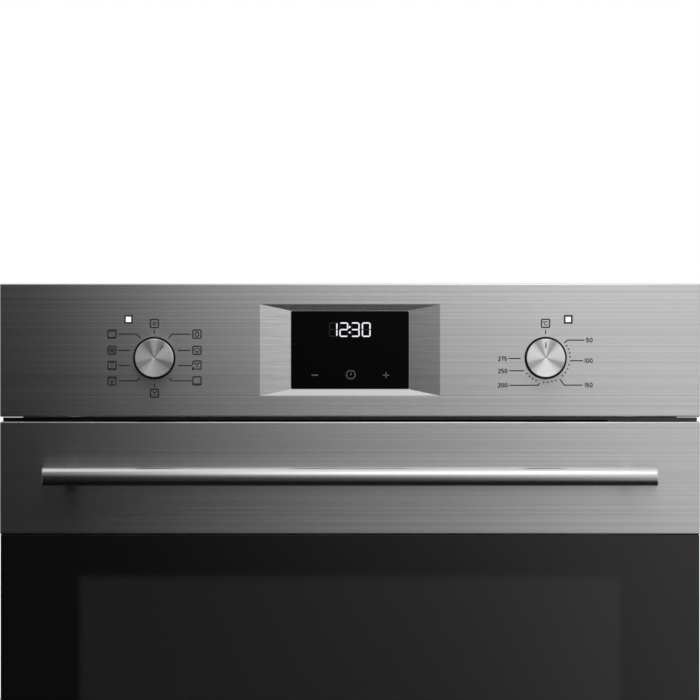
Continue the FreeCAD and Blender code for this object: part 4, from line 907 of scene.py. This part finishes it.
class OVEN_OT_clock(OvenOperator):
    """Clock glass with lit and unlit figures and the three touch marks"""

    bl_idname = "oven.clock"
    bl_label = "Clock"

    def execute(self, context):
        look, sizes, _ = settings()
        coat(["display_glass"], pane("clock_glass", [c * 0.2 for c in look.glass], 0.05, None))
        stroke = sizes.digit_stroke / MM
        lit = Marks(FASCIA_CENTRE, CLOCK_FACE, sizes.ink_depth)
        unlit = Marks(FASCIA_CENTRE, CLOCK_FACE, sizes.ink_depth)
        for figure, left, right in CLOCK_CELLS:
            for name in "abcdefg":
                segment(lit if name in SEGMENTS[figure] else unlit, name, left, right, stroke)
        for z in COLON_HEIGHTS:
            lit.disc(COLON_X, z, COLON_RADIUS, 12)
        lit.finish("clock_figures", glowing("clock_lit", look.digits, look.digit_glow))
        unlit.finish("clock_unlit_segments", glowing("clock_unlit", look.digits, 0.006, 0.6))
        touch = Marks(FASCIA_CENTRE, CLOCK_FACE, sizes.ink_depth)
        for start, end, width in TOUCH_STROKES:
            touch.line([start, end], width)
        touch.line(arc(0.7, -20.8, 3.7, 22, 158, 12) + arc(0.7, -20.8, 3.7, 202, 338, 12), 0.85, True)
        touch.line([(0.7, -20.9), (1.1, -18.9)], 0.7)
        touch.disc(0.7, -20.9, 0.6, 10)
        touch.finish("clock_touch_marks", glowing("touch_marks", (1, 1, 1), 0.075, 0.8))
        return {"FINISHED"}


class OVEN_OT_function_print(OvenOperator):
    """Symbols and leader lines round the function knob"""

    bl_idname = "oven.function_print"
    bl_label = "Function dial print"

    def execute(self, context):
        look, sizes, _ = settings()
        marks = Marks(FUNCTION_CENTRE, FASCIA_LOW.y, sizes.ink_depth)
        for x, z, draw, gap in SYMBOLS:
            here = marks.shifted(x, z)
            symbol_frame(here, sizes, gap)
            draw(here)
        for points in FUNCTION_LEADERS:
            marks.line(points, sizes.line / MM)
        marks.finish("function_dial_print", ink("dial_ink_function", look.ink))
        return {"FINISHED"}


class OVEN_OT_temperature_print(OvenOperator):
    """Figures, dots and leader lines round the temperature knob"""

    bl_idname = "oven.temperature_print"
    bl_label = "Temperature dial print"

    def execute(self, context):
        look, sizes, _ = settings()
        marks = Marks(TEMPERATURE_CENTRE, FASCIA_LOW.y, sizes.ink_depth)
        degree = marks.shifted(-0.1, 29.5)
        symbol_frame(degree, sizes)
        degree.line(arc(-1.75, 1.15, 0.5, 0, 300, 5), 0.4, True)
        degree.line(arc(0.6, -0.1, 1.6, 130, 410, 10, 0.9), 0.7)
        rise = sizes.figure / MM / 2
        for text, left, right, z in TEMPERATURES:
            marks.words(text, left, right, z - rise, z + rise, sizes.figure_stroke / MM)
        for points in TEMPERATURE_LEADERS:
            marks.line(points, sizes.line / MM)
        for first, last in zip(DIAL_ANGLES, DIAL_ANGLES[1:]):
            for step in range(1, DOTS_BETWEEN + 1):
                angle = math.radians(first + (last - first) * step / (DOTS_BETWEEN + 1))
                marks.disc(DOT_RING * math.sin(angle), DOT_RING * math.cos(angle), sizes.dot / MM, 10)
        marks.finish("temperature_dial_print", ink("dial_ink_temperature", look.ink))
        return {"FINISHED"}


# The inner pane's print: how far it stays off the pane's edge, how far it reaches in, and its rows of dots.
BORDER_RIM, BORDER_WIDTH = 1.5, 46.0
BORDER_PITCH, BORDER_HALF_COUNT = 3.2, 64
BORDER_DOTS = (0.9, 0.66, 0.42)


class OVEN_OT_door(OvenOperator):
    """Panes, columns, gasket and the printed border of the door"""

    bl_idname = "oven.door"
    bl_label = "Door"

    def execute(self, context):
        look, sizes, _ = settings()
        low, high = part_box("outer_glass")
        window = (high.x - 0.062, low.z + 0.045, high.z - 0.03)
        coat(["outer_glass"], pane("door_glass", look.glass, 0.5, window))
        coat(nodes_of("clear_glass"), clear_glass("clear_glass"))
        coat(nodes_of("black_steel"), painted_steel("painted_columns"))
        coat(nodes_of("seal_rubber"), seal_braid("door_seal_braid"))
        low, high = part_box("inner_glass")
        middle_z = (low.z + high.z) / 2
        border = Marks((0.0, middle_z), low.y, sizes.ink_depth)
        half_x, half_z = (high.x - low.x) / 2 / MM, (high.z - low.z) / 2 / MM
        rim, edge = BORDER_RIM, BORDER_WIDTH
        corners = ((-1, 1), (1, 1), (1, -1), (-1, -1))
        outer = [(sx * (half_x - rim), sz * (half_z - rim)) for sx, sz in corners]
        inner = [(sx * (half_x - edge), sz * (half_z - edge)) for sx, sz in corners]
        border.band(outer, inner, True)
        for side in (-1, 1):
            for row, radius in enumerate(BORDER_DOTS):
                z = side * (half_z - edge - 2.4 - row * BORDER_PITCH)
                for step in range(-BORDER_HALF_COUNT, BORDER_HALF_COUNT + 1):
                    border.disc((step + row % 2 / 2) * BORDER_PITCH, z, radius, 6)
        print_black = ink("pane_border_ink", (0.008, 0.008, 0.009))
        border.finish("inner_pane_border", print_black, "door", "black_glass")
        return {"FINISHED"}


# The shelf levels' figures: their place across in metres, and the heights in millimetres from the foot.
LEVEL_X, LEVEL_LOWEST, LEVEL_STEP = -0.262, 120.0, 60.0


class OVEN_OT_cavity(OvenOperator):
    """Enamel, racks, shelf, tray, heaters, fans, lamp holder and the level figures"""

    bl_idname = "oven.cavity"
    bl_label = "Cavity"

    def execute(self, context):
        look, sizes, _ = settings()
        coat(nodes_of("grey_enamel"), enamel("cavity_enamel", look.enamel, 0.34, 420))
        coat(nodes_of("black_enamel"), enamel("front_frame_enamel", (0.012, 0.012, 0.013), 0.05, 500))
        coat(nodes_of("chromed_wire"), chromed_wire("chromed_wire"))
        coat(nodes_of("element_sheath"), element_sheath("element_sheath"))
        coat(nodes_of("cast_aluminium"), cast_metal("fan_aluminium"))
        coat(nodes_of("white_ceramic"), ceramic("lamp_ceramic"))
        smooth_edges(nodes_of("grey_enamel") + nodes_of("chromed_wire") + nodes_of("element_sheath"))
        figures = Marks((LEVEL_X, 0.0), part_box("front_frame")[0].y, sizes.ink_depth)
        for level in range(5):
            z = LEVEL_LOWEST + LEVEL_STEP * level
            figures.words(str(level + 1), -2.2, 2.2 if level else 0.2, z - 3.5, z + 3.5, 0.8)
        figures.finish("level_figures", ink("level_ink", (0.62, 0.62, 0.60)), "chassis", "black_enamel")
        return {"FINISHED"}


class OVEN_OT_casing(OvenOperator):
    """Casing, insulation, motors, switches, wiring block, hinges, spindles and fasteners"""

    bl_idname = "oven.casing"
    bl_label = "Casing and works"

    def execute(self, context):
        look = settings()[0]
        coat(nodes_of("galvanised_steel"), galvanised("galvanised_sheet"))
        coat(nodes_of("motor_steel"), motor_steel("motor_laminations"))
        moulded = [name for name in nodes_of("black_plastic") if name != "indicator_bezels"]
        coat(moulded, black_plastic("black_plastic", look.black, 0.08))
        coat(nodes_of("circuit_plastic"), moulded_plastic("switch_plastic"))
        coat(nodes_of("plated_steel"), plated_steel("plated_steel"))
        coat(nodes_of("glass_wool"), glass_wool("glass_wool"))
        coat(nodes_of("copper"), copper("capillary_copper"))
        smooth_edges(nodes_of("motor_steel") + nodes_of("plated_steel") + nodes_of("copper"))
        return {"FINISHED"}


# ---------------------------------------------------------------- stage

# The light panel from left to right, at the height of the fascia's middle: place in metres, and grey level.
PANEL_ACROSS = (
    (-0.60, 0.05),
    (-0.44, 0.03),
    (-0.36, 0.022),
    (-0.307, 0.025),
    (-0.26, 0.047),
    (-0.195, 0.112),
    (-0.106, 0.24),
    (0.0, 0.40),
    (0.084, 0.50),
    (0.2, 0.69),
    (0.27, 0.75),
    (0.60, 0.85),
)
PANEL_Y = -0.85
PANEL_FOOT, PANEL_TOP = -0.25, 1.35
# How fast its light fades downwards, per metre, at two places across, and the limits of the exponent.
PANEL_FADE = ((-0.3, 8.0), (0.3, 1.4))
FADE_LIMITS = (-2.2, 1.5)
OVERHEAD_SIZE, OVERHEAD_PLACE = 3.0, (0.6, -0.6, 3.2)
# Half the plinth's width and its reach backwards, its distance behind the oven's front and below its foot.
PLINTH_HALF, PLINTH_SET_BACK, PLINTH_GAP = 0.36, 0.066, 0.0002
# Grey levels of the studio beyond it, clockwise from straight up round the line of sight, in degrees.
AROUND = (
    (-180, 0.0),
    (-140, 0.0),
    (-118, 0.22),
    (-108, 0.08),
    (-72, 0.08),
    (-60, 0.45),
    (-14, 1.0),
    (-6, 1.15),
    (6, 1.15),
    (14, 1.1),
    (60, 1.0),
    (110, 0.8),
    (140, 0.0),
    (180, 0.0),
)


def surround(world):
    """A white studio to look at, and soft grey fields round the oven for the metal to mirror."""
    world.use_nodes = True
    tree = world.node_tree
    tree.nodes.clear()
    graph = Graph(tree)
    direction = graph.add("TexCoord").outputs["Generated"]
    x, _, z = graph.add("SeparateXYZ", {"Vector": direction}).outputs
    turn = graph.math("DEGREES", graph.math("ARCTAN2", x, z))
    fields = graph.ramp(graph.remap(turn, -180.0, 180.0), [((a + 180) / 360, v) for a, v in AROUND])
    soft = graph.add("Background", {"Color": fields, "Strength": 1.0})
    white = graph.add("Background", {"Color": (1, 1, 1, 1), "Strength": 1.0})
    both = graph.add("MixShader")
    sockets = (graph.add("LightPath").outputs["Is Camera Ray"], soft.outputs[0], white.outputs[0])
    for socket, value in zip(both.inputs, sockets):
        graph.feed(socket, value)
    graph.feed(graph.add("OutputWorld").inputs["Surface"], both.outputs[0])


def light_panel(brightness):
    """A large graded light panel in front of the oven. Only mirrored light sees it."""
    material = bpy.data.materials.new("light_panel")
    material.use_nodes = True
    material.node_tree.nodes.clear()
    graph = Graph(material.node_tree)
    x, _, z = graph.add("SeparateXYZ", {"Vector": graph.add("TexCoord").outputs["Object"]}).outputs
    low, high = PANEL_ACROSS[0][0], PANEL_ACROSS[-1][0]
    stops = [((place - low) / (high - low), level) for place, level in PANEL_ACROSS]
    across = graph.ramp(graph.remap(x, low, high), stops)
    (left, fast), (right, slow) = PANEL_FADE
    rise = graph.math("SUBTRACT", z, FASCIA_CENTRE[1])
    fade = graph.math("MULTIPLY", graph.remap(x, left, right, fast, slow), rise)
    fade = graph.math("MINIMUM", graph.math("MAXIMUM", fade, FADE_LIMITS[0]), FADE_LIMITS[1])
    level = graph.math("MULTIPLY", across, graph.math("EXPONENT", fade))
    light = graph.add("Emission", {"Strength": graph.math("MULTIPLY", level, brightness)})
    graph.feed(graph.add("OutputMaterial").inputs["Surface"], light.outputs[0])
    panel = slab("light_panel", (low, PANEL_Y - 0.01, PANEL_FOOT), (high, PANEL_Y, PANEL_TOP), material)
    for sight in ("camera", "diffuse", "shadow", "transmission"):
        setattr(panel, f"visible_{sight}", False)


def slab(name, low, high, material, rounding=0.0):
    """A stage block between two corners, with its edges rounded where asked."""
    mesh = bmesh.new()
    bmesh.ops.create_cube(mesh, size=1)
    for vertex in mesh.verts:
        vertex.co = [l + (c + 0.5) * (h - l) for l, h, c in zip(low, high, vertex.co)]
    if rounding:
        bmesh.ops.bevel(mesh, geom=mesh.edges[:], offset=rounding, segments=3, affect="EDGES")
    data = bpy.data.meshes.new(name)
    mesh.to_mesh(data)
    mesh.free()
    data.materials.append(material)
    piece = bpy.data.objects.new(name, data)
    bpy.context.scene.collection.objects.link(piece)
    return piece


def overhead_light(name, power):
    """A wide soft light over the oven that points at its foot. Nothing mirrors it."""
    light = bpy.data.lights.new(name, "AREA")
    light.shape, light.size, light.size_y, light.energy = "RECTANGLE", OVERHEAD_SIZE, OVERHEAD_SIZE, power
    holder = bpy.data.objects.new(name, light)
    holder.location = OVERHEAD_PLACE
    holder.rotation_euler = (-Vector(OVERHEAD_PLACE)).to_track_quat("-Z", "Y").to_euler()
    holder.visible_camera = holder.visible_glossy = False
    bpy.context.scene.collection.objects.link(holder)


class OVEN_OT_stage(OvenOperator):
    """Floor, plinth, surroundings, lights and the camera square to the fascia"""

    bl_idname = "oven.stage"
    bl_label = "Stage"

    def execute(self, context):
        stage = settings()[2]
        scene = context.scene
        paint = stage_paint("stage_paint", stage.floor)
        half = stage.floor_size / 2
        drop = -stage.plinth_height
        floor = slab("floor", (-half, -half, drop - 0.02), (half, half, drop), paint)
        front = CAD_BOX[0].y + PLINTH_SET_BACK
        corners = (-PLINTH_HALF, front, drop), (PLINTH_HALF, PLINTH_HALF, -PLINTH_GAP)
        plinth = slab("plinth", *corners, paint, 0.003)
        for piece in (floor, plinth):
            piece.visible_glossy = False
        scene.world = scene.world or bpy.data.worlds.new("studio")
        surround(scene.world)
        light_panel(stage.panel_light)
        overhead_light("floor_light", stage.floor_light)
        camera = bpy.data.cameras.new("camera")
        camera.lens, camera.sensor_width = stage.lens, SENSOR
        distance = stage.framed_width * stage.lens / SENSOR
        camera.clip_end = 100.0
        holder = bpy.data.objects.new("camera", camera)
        holder.location = (0, FASCIA_LOW.y - distance, FASCIA_CENTRE[1] + 0.0002)
        holder.rotation_euler = (math.radians(90), 0, 0)
        scene.collection.objects.link(holder)
        scene.camera = holder
        scene.view_settings.view_transform = "Standard"
        return {"FINISHED"}


OPERATORS = (
    OVEN_OT_fronts,
    OVEN_OT_knobs,
    OVEN_OT_lamps,
    OVEN_OT_clock,
    OVEN_OT_function_print,
    OVEN_OT_temperature_print,
    OVEN_OT_door,
    OVEN_OT_cavity,
    OVEN_OT_casing,
    OVEN_OT_stage,
)


class OVEN_PT_sidebar(bpy.types.Panel):
    """Lists the oven's settings and operators"""

    bl_idname = "OVEN_PT_sidebar"
    bl_label = "Wall oven"
    bl_space_type = "VIEW_3D"
    bl_region_type = "UI"
    bl_category = "Oven"

    def draw(self, context):
        for group in settings():
            box = self.layout.box()
            for name in group.__annotations__:
                box.prop(group, name)
        for operator in OPERATORS:
            self.layout.operator(operator.bl_idname)


GROUPS = {"oven_finishes": OvenFinishes, "oven_prints": OvenPrints, "oven_stage": OvenStage}


def register():
    for kind in (*GROUPS.values(), *OPERATORS, OVEN_PT_sidebar):
        bpy.utils.register_class(kind)
    for name, group in GROUPS.items():
        setattr(bpy.types.Scene, name, PointerProperty(type=group))


def unregister():
    for name in GROUPS:
        delattr(bpy.types.Scene, name)
    for kind in (OVEN_PT_sidebar, *OPERATORS[::-1], *GROUPS.values()):
        bpy.utils.unregister_class(kind)


def main():
    register()
    for operator in OPERATORS:
        if getattr(bpy.ops.oven, operator.bl_idname.split(".")[1])() != {"FINISHED"}:
            raise RuntimeError(f"{operator.bl_idname} did not finish")


if __name__ == "__main__":
    main()
